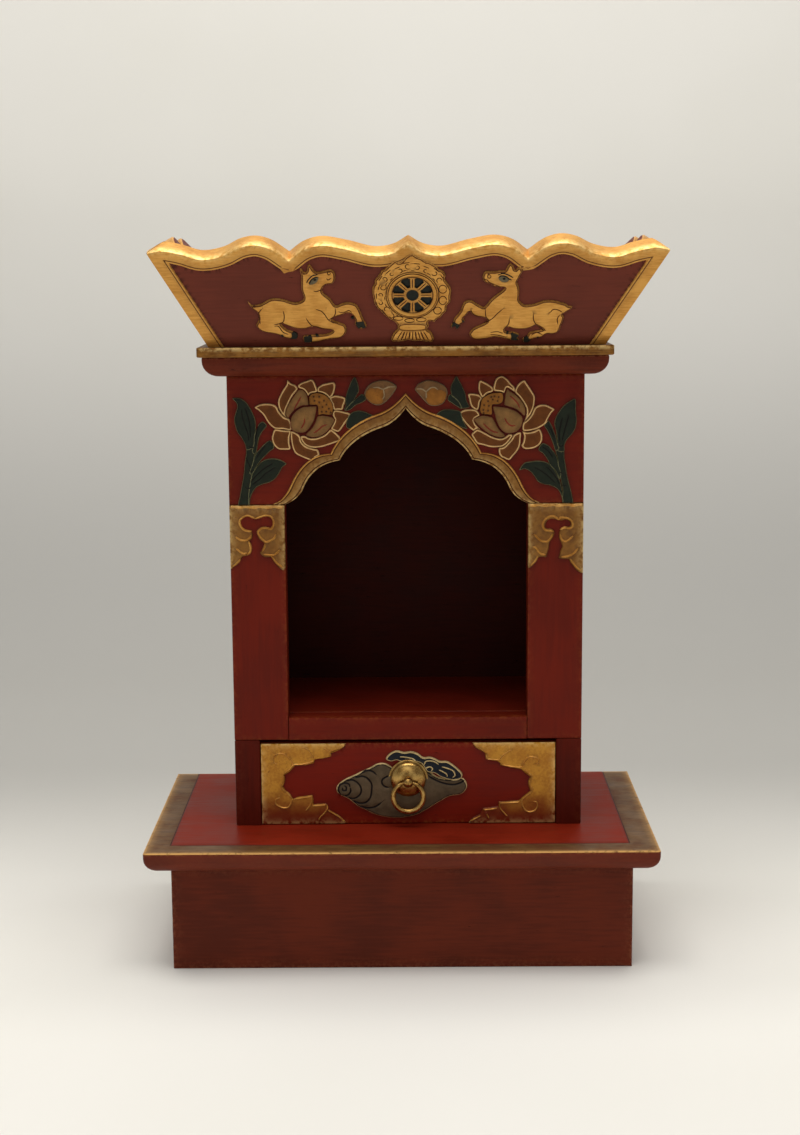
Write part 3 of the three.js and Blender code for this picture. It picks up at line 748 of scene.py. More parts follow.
def gold_leaf(name, bright, deep, bole=(110, 46, 20), brushed=(8, 1, 1), chips=0.66, metallic=0.45,
              fade=None):
    """Old gilding: fine brushed lines, soft clouds, a few pinholes, and edges lightened toward pale gold as
    worn gilding and a painted highlight.

    fade is (low, high, colour): in mm of height, where the leaf has turned to that colour."""
    g = Graph(name, 0.4, metallic, specular=0.3)
    cloud = g.noise(12, 3, 0.5)
    lines = g.noise(0.9, 4, 0.6, brushed)
    fine = g.noise(1.1, 4, 0.65, shift=3)
    tone = g.math("ADD", g.math("MULTIPLY", cloud, 0.5), g.math("MULTIPLY", lines, 0.5))
    body = g.mix(g.span(tone, 0.36, 0.62), tint(*deep), tint(*bright))
    if fade:
        low, high, colour = fade
        split = g.node("ShaderNodeSeparateXYZ")
        g.link(g.place, split.inputs[0])
        ragged = g.math("ADD", split.outputs[2], g.math("MULTIPLY", g.math("SUBTRACT", cloud, 0.5), 0.012))
        body = g.mix(g.span(ragged, low * MM, high * MM, 1.0, 0.0), body, tint(*colour))
    # Worn gilding and a painted highlight: the arrises are mixed toward pale bright gold.
    rub_and_highlight = g.math("MULTIPLY", g.attribute("edge_wear_and_highlight"), g.span(g.noise(3, 3, 0.6, shift=1), 0.35, 0.6))
    body = g.mix(g.math("MULTIPLY", rub_and_highlight, 0.7), body, tint(250, 214, 140))
    hole = g.math("MULTIPLY", g.span(g.noise(1.3, 4, 0.7, shift=6), chips, chips + 0.04),
                  g.span(g.noise(14, 2, 0.5, shift=11), 0.4, 0.6))
    body = g.mix(hole, body, tint(*bole))
    # Soiling and painted shade darken the gilding in hollows and at the feet of the carving.
    soil_and_shade_mix = g.math("MULTIPLY", g.attribute("grime"), 0.85)
    body = g.mix(soil_and_shade_mix, body, tint(44, 20, 10))
    shine = g.math("SUBTRACT", 1.0, g.math("MAXIMUM", hole, soil_and_shade_mix))
    metal = g.math("MULTIPLY", shine, metallic)
    rough = g.span(fine, 0.3, 0.75, 0.34, 0.5)
    rough = g.math("MAXIMUM", rough, g.math("MULTIPLY", hole, 0.7))
    height = g.math("ADD", g.math("MULTIPLY", lines, 0.5), g.math("MULTIPLY", fine, 0.3))
    height = g.math("SUBTRACT", height, g.math("MULTIPLY", hole, 0.4))
    return g.finish(body, rough, g.bump(height, 0.14, 0.7), metal)


def motif_paint():
    """The painted carving: its colours are in the mesh, aged by soft blotches and flakes, and darkened in
    hollows by soiling and painted shade.
    """
    g = Graph("motif_paint", 0.5, specular=0.15)
    pigment = g.attribute("pigment", "Color")
    blotch = g.noise(5, 4, 0.6)
    fine = g.noise(0.8, 3, 0.6, shift=2)
    body = g.mix(1.0, pigment, g.mix(g.span(blotch, 0.3, 0.7), (0.8, 0.78, 0.74), (1.12, 1.1, 1.06)),
                 "MULTIPLY")
    body = g.mix(g.span(fine, 0.5, 0.8, 0, 0.22), body, tint(60, 32, 18))
    hole = g.math("MULTIPLY", g.span(g.noise(1.4, 4, 0.7, shift=6), 0.65, 0.69),
                  g.span(g.noise(12, 2, 0.5, shift=12), 0.42, 0.6))
    body = g.mix(hole, body, tint(70, 26, 14))
    # Soiling and painted shade darken the motifs in hollows and at the feet of raised parts.
    body = g.mix(g.math("MULTIPLY", g.attribute("grime"), 0.75), body, tint(26, 11, 7))
    rough = g.span(fine, 0.3, 0.8, 0.4, 0.62)
    height = g.math("SUBTRACT", g.math("ADD", blotch, g.math("MULTIPLY", fine, 0.5)),
                    g.math("MULTIPLY", hole, 0.6))
    return g.finish(body, rough, g.bump(height, 0.14, 0.7))


def border_paint():
    """The dull gilt border of the base, mostly rubbed down to olive brown."""
    g = Graph("border_paint", 0.48, 0.15, specular=0.12)
    streak = g.noise(1.6, 5, 0.65, (8, 2, 1))
    blotch = g.noise(22, 4, 0.6, shift=4)
    body = g.mix(g.span(streak, 0.35, 0.65), tint(88, 60, 34), tint(112, 80, 46))
    body = g.mix(g.span(blotch, 0.45, 0.7, 0, 0.6), body, tint(92, 48, 30))
    # Worn gilt and a painted highlight: the border's arrises are mixed toward bright gold.
    rub_and_highlight = g.math("MULTIPLY", g.attribute("edge_wear_and_highlight"), g.span(g.noise(3, 3, 0.6, shift=1), 0.2, 0.5))
    body = g.mix(rub_and_highlight, body, tint(228, 176, 104))
    # Soiling and painted shade darken the border's incised line and creases.
    body = g.mix(g.math("MULTIPLY", g.attribute("grime"), 0.7), body, tint(50, 18, 12))
    rough = g.span(blotch, 0.3, 0.7, 0.38, 0.58)
    return g.finish(body, rough, g.bump(streak, 0.15, 0.6))


def polished_brass():
    g = Graph("old_brass", 0.3, 1.0)
    cloud = g.noise(5, 4, 0.6)
    fine = g.noise(0.6, 3, 0.6, shift=2)
    body = g.mix(g.span(cloud, 0.3, 0.7), tint(150, 112, 58), tint(206, 168, 98))
    # Tarnish and painted shade darken the brass in the pull's creases.
    body = g.mix(g.math("MULTIPLY", g.attribute("grime"), 0.85), body, tint(58, 36, 16))
    body = g.mix(g.span(fine, 0.6, 0.78, 0, 0.5), body, tint(112, 76, 34))
    rough = g.span(g.math("ADD", g.math("MULTIPLY", cloud, 0.5), g.math("MULTIPLY", fine, 0.5)), 0.3, 0.7,
                   0.22, 0.4)
    height = g.math("ADD", cloud, g.math("MULTIPLY", fine, 0.3))
    return g.finish(body, rough, g.bump(height, 0.14, 0.6))


MOTIF = motif_paint()
GILT = gold_leaf("gold_leaf", (214, 158, 76), (188, 130, 54))
SIDE_GILT = gold_leaf("side_gold_leaf", (214, 158, 76), (188, 130, 54), brushed=(1, 8, 1))
DULL_GILT = gold_leaf("dull_gold_leaf", (138, 92, 32), (116, 72, 22), brushed=(3, 1, 3), metallic=0.25)
LEDGE_GILT = gold_leaf("ledge_gold_leaf", (151, 100, 34), (107, 64, 18), metallic=0.4)
DRAWER_FOOT = box("drawer_front")[0][2]
DRAWER_GILT = gold_leaf("drawer_gold_leaf", (196, 138, 44), (170, 110, 30), (92, 34, 14), (2, 1, 2), 0.64,
                        0.35, (DRAWER_FOOT + 3, DRAWER_FOOT + 25, (120, 38, 8)))


# ------------------------------------------------------------------ crown
CROWN_X = middle("crown_front_board")[0]
CROWN_HALF = (box("crown_front_board")[1][0] - box("crown_front_board")[0][0]) / 2
CROWN_THICK = 12.0
SPILL = 14.0
CROWN_FOOT_Y = box("cornice_ledge")[0][1] + 6.4
CROWN_RISE = 58.6
CROWN_FLARE = 33.4
SLANT = math.hypot(CROWN_RISE, CROWN_FLARE)
FOOT_LEFT = CROWN_X - 1.3 - 122.8
FOOT_RIGHT = CROWN_X - 1.3 + 122.8
BAND = 8.0

# Height of the scalloped edge by distance in from a corner.
SCALLOP = [(0, 66.8), (8.5, 68.2), (20, 66), (32, 62.2), (45, 64.5), (56, 70.2), (65, 71.8), (74, 69.2),
           (84.8, 61)]
INNER_SCALLOP = [(84.8, 61), (94, 68.2), (104.5, 71.2), (120, 68.5), (137, 64), (148, 65.8), (157, 71.5)]
SIDE_TAIL = [(84.8, 61), (94, 68.2), (104.5, 71.2), (118, 68.5), (134, 64.2), (150, 63), (185, 63)]


def scalloped_run(tail):
    return np.vstack([curve(SCALLOP, False, 1.4), curve(tail, False, 1.4)[1:]])


def deer_left():
    return [
        (-98.5, 32.7), (-96.2, 30.2), (-93, 30.2), (-90, 31.1), (-84, 34.4), (-80.5, 34.6), (-76.5, 33.9),
        (-69.5, 31.6), (-65, 33.2), (-64, 35.2), (-65.2, 41), (-65, 50.5), (-65.6, 54), (-65, 55.5),
        (-62.8, 52.8), (-61.5, 53.5), (-60.4, 57.9), (-59.4, 58.1), (-57.5, 54.6), (-55.5, 53),
        (-51.5, 53.6), (-47, 54.5), (-45, 53), (-44.4, 48.6), (-46, 45), (-50.3, 44), (-52.6, 41),
        (-52.4, 38.8), (-47.9, 34.2), (-44.7, 29.4), (-40.3, 31), (-36.5, 31.6), (-32, 29.8),
        (-30.2, 26.5), (-28.4, 21), (-26.1, 14.3), (-27.8, 12.8), (-31, 12.9), (-33, 15.6), (-33, 19.5),
        (-36.2, 23.9), (-41, 22.8), (-47, 19.8), (-42.9, 17.3), (-39.5, 15.5), (-38.6, 11), (-41.5, 6.8),
        (-50.5, 5.1), (-57.2, 3.4), (-65, 3.4), (-65.3, 7.6), (-60, 8.4), (-50.3, 9.3), (-47, 11.5),
        (-53.5, 12.9), (-58.4, 14.5), (-64, 13), (-68.4, 13), (-73, 14.4), (-78.7, 16.8), (-75.6, 12.8),
        (-69.2, 9.4), (-69.3, 6), (-76, 6.3), (-81.4, 8.9), (-91.2, 11.6), (-94.2, 15.5), (-92.5, 19.5),
        (-93, 24.7), (-96.3, 28)]


def deer_right():
    return [
        (100.5, 27.5), (98, 28), (96, 29.5), (93, 30.5), (90, 31.5), (86, 32), (82, 31.5), (78.5, 30),
        (74.5, 29), (70.5, 29), (69, 30.5), (67.5, 32.5), (67.5, 36), (67.5, 39), (67, 42), (66, 45),
        (67, 47.5), (68, 50), (69, 52), (68.5, 54), (67.5, 55), (66, 55), (65, 53.5), (64, 54), (63.5, 56),
        (61.5, 58), (60.5, 57), (59.5, 55), (58.5, 53), (56, 53), (52.5, 52.5), (49.5, 52.5), (46.5, 52.5),
        (45.5, 51), (45, 49), (45.5, 46.5), (46.5, 45), (49, 44), (52, 42), (55, 41.5), (58.5, 41),
        (57, 39), (53.5, 36), (50.5, 33), (48, 29.5), (46, 27.5), (44, 28.5), (41, 30.5), (39, 32),
        (37, 32.5), (34.5, 31.5), (33, 29), (32, 25.5), (30.5, 23), (28, 19.5), (27.5, 17.5), (26, 14),
        (26.5, 13), (28.5, 14), (29.5, 12), (31, 13), (32, 15.5), (34, 17), (34.5, 18.5), (33.5, 19.5),
        (35.5, 22), (37.5, 24.5), (39, 22.5), (42, 21), (45, 20.5), (47.5, 19.5), (48.5, 18), (46.5, 16),
        (42.5, 14), (40, 12.5), (38, 10), (37.5, 8.5), (38.5, 6), (41, 4.5), (44.5, 4.5), (48.5, 5),
        (52.5, 6), (57, 5.5), (60.5, 4.5), (65, 3.5), (68.5, 4), (67.5, 5.5), (68.5, 7.5), (66.5, 9),
        (63.5, 9.5), (60, 10), (59.5, 11.5), (61.5, 13), (64.5, 12), (69, 11.5), (73.5, 12), (77, 13.5),
        (78.5, 14.5), (80.5, 13.5), (83, 11.5), (80, 10.5), (77, 10), (74.5, 9), (73.5, 7), (70.5, 4.5),
        (71, 2.5), (74, 2), (77, 4.5), (79.5, 5), (82, 5.5), (85.5, 8), (89, 8), (92, 9), (93.5, 11.5),
        (94, 14), (95, 17), (95.5, 20.5), (94.5, 22), (96, 23), (98, 24.5), (99.5, 25.5)]


DEER_LINES = [
    [(-77, 26.5), (-76.5, 22.5), (-77.5, 18.5), (-80.5, 17), (-83.5, 16.5)],
    [(-57, 27.5), (-53.5, 26), (-51.5, 23.5), (-49.5, 20), (-47, 18), (-43.5, 17)],
    [(-63, 21), (-61.5, 18), (-59, 15), (-54.5, 13), (-49, 12)],
    [(-45, 28), (-45, 24.5), (-46.5, 21.5), (-49, 20)],
    [(-58, 40.5), (-56, 40), (-53.5, 41)],
    [(-43, 25.5), (-40, 25), (-36.5, 26.5), (-35, 25)],
    [(-83, 15.5), (-80.5, 15.5), (-78, 11.5), (-74.5, 9.5)],
    [(-96, 29.5), (-92.5, 29.5), (-89.5, 30)],
    [(-90, 28), (-92, 25), (-92, 21.5), (-91.5, 17)],
    [(-47, 52.5), (-48, 51.5), (-49, 52.5), (-48, 53.5), (-47, 52.5)],
    [(-49.5, 49.5), (-49, 48), (-46.5, 49.5)],
    [(76.5, 23), (77, 18.5), (79, 14.5), (82, 11.5), (85, 11)],
    [(57.5, 26.5), (54.5, 23.5), (52, 20.5), (49, 18), (46.5, 16)],
    [(62, 20), (61.5, 16), (58.5, 12)],
    [(47, 26.5), (47.5, 21.5), (49, 18.5)],
    [(38, 27), (39, 24), (42.5, 21.5), (45, 20.5)],
    [(75.5, 7.5), (79, 9.5), (83, 8)],
    [(50.5, 10), (55, 10.5), (58.5, 9)],
    [(50.5, 8.5), (55, 8), (60.5, 6.5)],
    [(87, 24), (88.5, 26), (91, 26), (94.5, 24)],
    [(93, 22.5), (91.5, 19.5), (92, 15.5)],
    [(50, 50), (49.5, 48.5), (48, 49), (48.5, 51), (50, 50)],
    [(45.5, 47.5), (48, 47), (48.5, 46), (52, 44), (55.5, 42.5)],
]
DEER_BROWS = [
    [(-62, 46), (-60.5, 48.5), (-58, 51), (-55, 51.5)],
    [(-60.5, 45), (-59, 48), (-56.5, 49.8), (-54.5, 50)],
    [(54, 50.5), (57, 51.5), (60.5, 50.5), (63.5, 48.5)],
    [(54.5, 48.5), (56, 50), (59, 49.5), (61, 47.8), (62.8, 47)],
]
DEER_EYES = [
    [(-60, 45), (-59, 47.6), (-56.7, 49.2), (-54.7, 49.7), (-55.2, 47.2), (-57.5, 45.2)],
    [(54.7, 48.3), (56.2, 49.6), (59, 49), (61, 47.3), (59.3, 45.6), (56.5, 46)],
]
DEER_PUPILS = [(-56.8, 48.1), (58, 47.9)]
HOOVES = [
    [(-72.5, 10), (-71.5, 11), (-69, 9.5), (-68.9, 7.5), (-69.5, 6.3), (-71.5, 6), (-73.5, 6.5),
     (-72.5, 8)],
    [(-79.5, 8.8), (-78, 9.4), (-77.5, 7.9), (-78.5, 7)],
    [(-60.5, 8.2), (-60, 5.5), (-60.5, 3.9), (-64.6, 3.8), (-64.9, 5.6), (-64.9, 7.4), (-62.5, 8)],
    [(-58, 9), (-56.5, 9), (-55.8, 8), (-57, 7.4)],
    [(-35.5, 21.3), (-34, 21.5), (-33.6, 20.2), (-35, 19.6)],
    [(-32.6, 17.5), (-28, 18.3), (-27.3, 16), (-26.5, 14.2), (-28, 13.3), (-29.5, 14.2), (-31, 13.4),
     (-32.4, 15)],
    [(27.7, 17.3), (30.5, 16), (31.7, 15.3), (30.9, 13.3), (29.5, 12.5), (28.3, 14.3), (26.7, 13.6)],
    [(33.2, 18.6), (34.2, 18.4), (33.9, 17.3), (32.9, 17.2)],
    [(63.2, 9.1), (66.3, 8.7), (68.1, 7.4), (67, 5.6), (67.8, 4.3), (65, 3.9), (63.4, 4.7), (63.6, 7)],
    [(60.5, 10), (61.8, 10), (61.5, 8.9), (60.6, 8.6)],
    [(73.2, 6.8), (74.8, 5), (76, 3.9), (74, 2.5), (71.4, 3), (71, 4.4)],
    [(79.2, 6), (80.3, 6.6), (80.4, 5.4), (79.2, 4.8)],
]
CLOUD = [
    (-12.5, 56.5), (-14.5, 54.5), (-16, 54), (-17, 52), (-18, 50.5), (-19, 49), (-20.5, 47), (-20.5, 45),
    (-21.5, 43), (-22, 41), (-22, 38), (-21.5, 34.5), (-21, 31), (-19.5, 28), (-17, 25), (-14, 21.5),
    (-11.5, 19.5), (-8.5, 17.5), (-7, 15), (-7, 12.5), (-9, 10), (-10.5, 7), (-11, 4.5), (-10, 3.5),
    (-6, 3.5), (-2.5, 4), (0, 4.5), (3.5, 3.5), (6.5, 4), (9, 3.5), (14, 3), (15.5, 4.5), (15, 7.5),
    (13.5, 10.5), (11.5, 12), (12.5, 14.5), (12, 17.5), (13.5, 18), (16, 17.5), (17.5, 19.5), (20, 21),
    (21.5, 23.5), (23, 25), (23.5, 29), (25.5, 31.5), (25.5, 35.5), (26, 39.5), (25, 42.5), (23.5, 45),
    (22, 47.5), (22.5, 50), (21, 53), (18.5, 54.5), (17.5, 56), (15, 58), (12.5, 59.5), (10.5, 60),
    (8, 62), (5.5, 63), (2.5, 65), (-1, 63.5), (-3.5, 60.5), (-5.5, 59), (-8, 60.5), (-10, 59)]
WHEEL = (2.4, 36.8)


def oval(u, v, wide, high):
    return circle(0, 0, 1, 0.25) * (wide, high) + (u, v)


def curl(u, v, size, turn, way):
    """A C-shaped curl that winds in."""
    t = np.linspace(0, 1, 8)
    a = turn + way * 4.4 * t
    r = size * (1 - 0.5 * t)
    return np.stack([u + r * np.cos(a), v + r * np.sin(a)], 1)


def collar_curls(u, v):
    """The clouds round the wheel: beads at the right, curls elsewhere, pods over the stand."""
    lines = []
    for k in range(13):
        a = 0.56 + 0.285 * k
        r = 19.6 + 0.9 * math.sin(2.1 * k)
        size = 1.75 + 0.4 * math.sin(1.7 * k + 1)
        way = 1 if k % 2 else -1
        at = (u + r * math.cos(a), v + r * math.sin(a))
        lines.append(curl(*at, size, a + 2.6 * way, way))
        lines.append(circle(u, v, r - 2.6, 0.7, a + 0.07, a + 0.23))
        lines.append(circle(u, v, r + 2.4, 0.7, a - 0.06, a + 0.14))
    for a, wide, high in ((-0.62, 2.4, 2.5), (-0.2, 2.3, 2.9), (0.22, 2.4, 2.8)):
        lines.append(oval(u + 18.9 * math.cos(a), v + 18.9 * math.sin(a), wide, high))
    for x, y in ((-8.8, -16.3), (-1.8, -17.9), (5.4, -17.4)):
        lines.append(oval(u + x, v + y, 3.0, 1.35))
    return [Stroke(line, 0.62, -0.3, "gold_line", taper=0.8) for line in lines]


def wheel_windows(u, v):
    made = []
    for k in range(8):
        mid = 2 * math.pi * (k + 0.5) / 8
        shape = [(5.6, -0.17), (9.0, -0.24), (11.4, -0.27), (12.3, -0.15), (12.4, 0.15), (11.5, 0.27),
                 (9.0, 0.24), (5.6, 0.17)]
        shape = [(u + r * math.cos(mid + a), v + r * math.sin(mid + a)) for r, a in shape]
        made.append(Region(shape, 0.05, "window", wall=0.4, sharp=True, step=0.6))
        spoke = 2 * math.pi * k / 8
        line = [(u + r * math.cos(spoke), v + r * math.sin(spoke)) for r in (4.8, 8, 11.6)]
        made.append(Stroke(line, 0.7, -0.2, "gold_line", taper=1.5))
    return made


def wheel_carving():
    u, v = WHEEL
    made = [Region(CLOUD, 0.95, "gold", wall=0.5, dome=0.3, reach=2.5, groove=0.95)]
    made += collar_curls(u, v) + wheel_windows(u, v)
    made.append(Stroke(circle(u, v, 14.2), 3.2, 0.6, closed=True))
    for r in (12.5, 15.0, 16.1):
        made.append(Stroke(circle(u, v, r), 0.55, -0.3, "gold_line", closed=True))
    made.append(Region(circle(u, v, 3.8, 0.6), 0.5, "window", wall=0.6, dome=0.5, reach=3.7))
    bar = [(-8, -20.2), (-9, -22.2), (-8, -24.2), (7.8, -24.2), (8.8, -22.2), (8, -20.2)]
    made.append(Region([(u + a, v + b - 0.4) for a, b in bar], 1.5, "gold", wall=0.6, dome=0.4, reach=1.6,
                       groove=0.7))
    for k in range(9):
        t = (k + 0.5) / 9 - 0.5
        line = [(u + 15 * t, v - 26), (u + 19 * t, v - 29.2 - 0.8 * (k % 2)), (u + 22 * t, v - 32)]
        made.append(Stroke(line, 0.7 + 0.3 * (k % 2), -0.35, "gold_line", taper=1.5))
    return made


def deer_carving():
    made = []
    for outline in (deer_left(), deer_right()):
        made.append(Region(outline, 0.9, "gold", wall=0.5, dome=0.6, reach=4.0, groove=0.85))
    made += [Stroke(line, 0.65, -0.3, "gold_line", taper=2.0) for line in DEER_LINES]
    made += [Region(shape, 0.95, "hoof", wall=0.3, step=0.6) for shape in HOOVES]
    made += [Region(shape, 1.35, "eye", wall=0.3, step=0.5) for shape in DEER_EYES]
    made += [Stroke(line, 0.8, 0.1, "pupil", taper=1.5) for line in DEER_BROWS]
    made += [Region(circle(u, v, 0.85, 0.4), 1.45, "pupil", wall=0.2) for u, v in DEER_PUPILS]
    return made


def crown_front():
    run = scalloped_run(INNER_SCALLOP) - (CROWN_HALF, 0)
    top = np.vstack([run, mirror(run)[1:]])
    out = CROWN_HALF + SPILL
    tip = top[0][1]
    outline = np.vstack([[(-out, tip)], top, [(out, tip), (out, -SPILL), (-out, -SPILL)]])
    left_foot = FOOT_LEFT - CROWN_X
    right_foot = FOOT_RIGHT - CROWN_X
    ends = [[(left_foot + 0.49 * SPILL, -SPILL), (-CROWN_HALF - 1, SLANT + 2)],
            [(right_foot - 0.53 * SPILL, -SPILL), (CROWN_HALF + 1, SLANT + 2)]]
    lines = [resample(line, False, 1.2) for line in [top] + ends]
    carving = [Bands(lines, BAND, RELIEF, "gold", 1.7)] + wheel_carving() + deer_carving()
    board = Board(resample(outline, True, 1.4), CROWN_THICK, carving, arris=0.9, sharp=False,
                  wall_paint="gold", back_paint="back")
    lean = math.atan2(CROWN_FLARE, CROWN_RISE)
    s, c = math.sin(lean), math.cos(lean)
    tip_left = CROWN_X - CROWN_HALF
    tip_right = CROWN_X + CROWN_HALF
    trims = [
        ((0, 0, CROWN_FOOT), (0, 0, -1)),
        ((FOOT_LEFT, CROWN_FOOT_Y, 0), (-CROWN_FLARE, FOOT_LEFT - tip_left, 0)),
        ((FOOT_RIGHT, CROWN_FOOT_Y, 0), (CROWN_FLARE, tip_right - FOOT_RIGHT, 0)),
    ]
    kinds = {"ground": crown_paint("x"), "gold": GILT, "motif": MOTIF, "back": red_lacquer("x")}
    piece = board.build("crown_front", (CROWN_X, CROWN_FOOT_Y, CROWN_FOOT), (1, 0, 0), (0, -s, c),
                        (0, -c, -s), kinds, trims)
    settle(piece, "cabinet", "maroon_paint", "crown_front_board")


def crown_side(sign):
    """One side board; sign is -1 for the left and 1 for the right."""
    name = "left" if sign < 0 else "right"
    foot_x = FOOT_LEFT if sign < 0 else FOOT_RIGHT
    tip_x = CROWN_X + sign * CROWN_HALF
    tip_y = CROWN_FOOT_Y - CROWN_FLARE
    run = scalloped_run(SIDE_TAIL)
    outline = np.vstack([[(-SPILL, run[0][1])], run, [(185, -SPILL), (-SPILL, -SPILL)]])
    end = [(CROWN_FLARE + 0.49 * SPILL, -SPILL), (-1, SLANT + 2)]
    lines = [resample(line, False, 1.2) for line in (run, end)]
    lean = math.atan2(abs(tip_x - foot_x), CROWN_RISE)
    s, c = math.sin(lean), math.cos(lean)
    if sign < 0:
        outline = mirror(outline)
        lines = [mirror(line) for line in lines]
    carving = [Bands(lines, BAND, RELIEF, "gold", 1.7)]
    board = Board(resample(outline, True, 1.6), CROWN_THICK, carving, arris=0.9, sharp=False, cell=4,
                  wall_paint="gold", back_paint="back")
    trims = [
        ((0, 0, CROWN_FOOT), (0, 0, -1)),
        ((foot_x, CROWN_FOOT_Y, 0), (-sign * CROWN_FLARE, -abs(tip_x - foot_x), 0)),
        ((0, BACK_Y, 0), (0, 1, 0)),
    ]
    kinds = {"ground": crown_paint("y"), "gold": SIDE_GILT, "motif": MOTIF, "back": red_lacquer("y")}
    piece = board.build("crown_" + name, (foot_x, tip_y, CROWN_FOOT), (0, sign, 0), (sign * s, 0, c),
                        (sign * c, 0, -s), kinds, trims)
    settle(piece, "cabinet", "maroon_paint", "crown_" + name + "_board")


# ------------------------------------------------------------------ cornice and base slab
def rounded_front(width, depth, corner=2.0, step=1.6):
    """A board's outline seen from above: plain back, slightly rounded front corners."""
    w = width / 2
    left = circle(-w + corner, corner, corner, 0.5, math.pi, 1.5 * math.pi)
    right = circle(w - corner, corner, corner, 0.5, 1.5 * math.pi, 2 * math.pi)
    return resample(np.vstack([left, right, [(w, depth), (-w, depth)]]), True, step)


def shrink_to_back(width, depth):
    """Draws an outline in at the front and sides and leaves the back edge in its plane."""
    def shrink(ring, inset):
        scale = np.array([(width / 2 - inset) / (width / 2), (depth - inset) / depth])
        return np.array([0, depth]) + (ring - np.array([0, depth])) * scale
    return shrink


def quarter_round(thick, radius, steps=7):
    rows = [(0.0, -0.5 * (thick - radius)), (0.0, -thick + radius)]
    for i in range(1, steps + 1):
        t = math.pi / 2 * (1 - i / steps)
        rows.append((radius * (1 - math.sin(t)), -thick + radius * (1 - math.cos(t))))
    return rows


def moulded(node, name, slot, kinds, carving=(), arris=0.7, radius=10.0, wall_paint="ground"):
    low, high = box(node)
    width, depth, thick = high - low
    radius = min(radius, thick - 2 * arris)
    board = Board(rounded_front(width, depth), thick, carving, arris=arris, sharp=False, cell=3.2,
                  wall=quarter_round(thick, radius), shrink=shrink_to_back(width, depth),
                  wall_paint=wall_paint, back_paint="ground")
    origin = ((low[0] + high[0]) / 2, low[1], high[2])
    piece = board.build(name, origin, (1, 0, 0), (0, 1, 0), (0, 0, 1), kinds)
    return settle(piece, "cabinet", slot, node)


def cornice():
    moulded("cornice_moulding", "cornice", "brown_red_paint", {"ground": plinth_paint("x")})


def ledge():
    low, high = box("cornice_ledge")
    width, depth, thick = high - low
    rows = [(0.0, -0.5 * thick), (0.0, -thick + 0.6), (0.6, -thick)]
    board = Board(rounded_front(width, depth), thick, (), arris=0.7, sharp=False, cell=4, wall=rows,
                  shrink=shrink_to_back(width, depth), wall_paint="gold", back_paint="gold")
    kinds = {"ground": LEDGE_GILT, "gold": LEDGE_GILT}
    piece = board.build("ledge", ((low[0] + high[0]) / 2, low[1], high[2]), (1, 0, 0), (0, 1, 0),
                        (0, 0, 1), kinds)
    settle(piece, "cabinet", "gold_leaf", "cornice_ledge")


def base_slab():
    low, high = box("plinth_top_slab")
    width, depth, _ = high - low
    w = width / 2
    frame_width = {"left": 15.5, "front": 16.0, "right": 18.0}
    inner = [(-w + frame_width["left"], depth + 5), (-w + frame_width["left"], frame_width["front"]),
             (w - frame_width["right"], frame_width["front"]), (w - frame_width["right"], depth + 5)]
    border = [(-w - 3, depth + 5), (-w - 3, -3), (w + 3, -3), (w + 3, depth + 5)] + inner[::-1]
    carving = [Region(border, 0.0, "border", sharp=True, step=1.4),
               Stroke(inner, 1.0, -0.3, "border_line", sharp=True, step=1.4)]
    kinds = {"ground": slab_lacquer(), "border": border_paint(), "motif": MOTIF,
             "side": old_paint("slab_side_paint", (100, 40, 24), "x", 0.14, 0.45, 0.12)}
    moulded("plinth_top_slab", "base_slab", "red_lacquer", kinds, carving, arris=0.8, wall_paint="side")


# ------------------------------------------------------------------ plain boards
FACES = {
    "front": ((1, 0, 0), (0, 0, 1), (0, -1, 0)),
    "back": ((-1, 0, 0), (0, 0, 1), (0, 1, 0)),
    "left": ((0, -1, 0), (0, 0, 1), (-1, 0, 0)),
    "right": ((0, 1, 0), (0, 0, 1), (1, 0, 0)),
    "top": ((1, 0, 0), (0, 1, 0), (0, 0, 1)),
}


def plain_board(node, name, face, body, slot, kinds, arris=0.7, cell=6, outline=None, carving=(),
                wall_paint="ground", back_paint="back"):
    """A board that fills its CAD node's box, or the outline given in the box's face."""
    low, high = box(node)
    axes = np.array(FACES[face], float)
    corner_a, corner_b = axes @ low, axes @ high
    start, end = np.minimum(corner_a, corner_b), np.maximum(corner_a, corner_b)
    size = end - start
    shape = outline or [(0, 0), (size[0], 0), (size[0], size[1]), (0, size[1])]
    board = Board(shape, size[2], carving, arris=arris, cell=cell, wall_paint=wall_paint,
                  back_paint=back_paint)
    origin = axes.T @ np.array([start[0], start[1], end[2]])
    piece = board.build(name, origin, *FACES[face], kinds)
    return settle(piece, body, slot, node)


def plinth():
    kinds = {"ground": plinth_paint("x"), "back": bare_wood("x")}
    plain_board("plinth_front_board", "plinth_front", "front", "cabinet", "brown_red_paint", kinds)
    plain_board("plinth_back_board", "plinth_back", "back", "cabinet", "brown_red_paint", kinds)
    kinds = {"ground": plinth_paint("y"), "back": bare_wood("y")}
    for side in ("left", "right"):
        plain_board("plinth_%s_board" % side, "plinth_" + side, side, "cabinet", "brown_red_paint", kinds)


def cabinet_sides():
    """The side boards are cut back above the drawer to take the frame of the front."""
    kinds = {"ground": side_paint("z"), "back": inner_paint("z")}
    for side in ("left", "right"):
        low, high = box("cabinet_%s_side" % side)
        depth = high[1] - low[1]
        notch = FRAME_BACK + 0.2 - low[1]
        rail = RAIL_FOOT - low[2]
        height = high[2] - low[2]
        shape = [(0, 0), (depth, 0), (depth, height), (notch, height), (notch, rail), (0, rail)]
        if side == "left":
            shape = [(depth - u, v) for u, v in shape][::-1]
        plain_board("cabinet_%s_side" % side, "side_" + side, side, "cabinet", "red_lacquer", kinds,
                    outline=shape, arris=0.9)


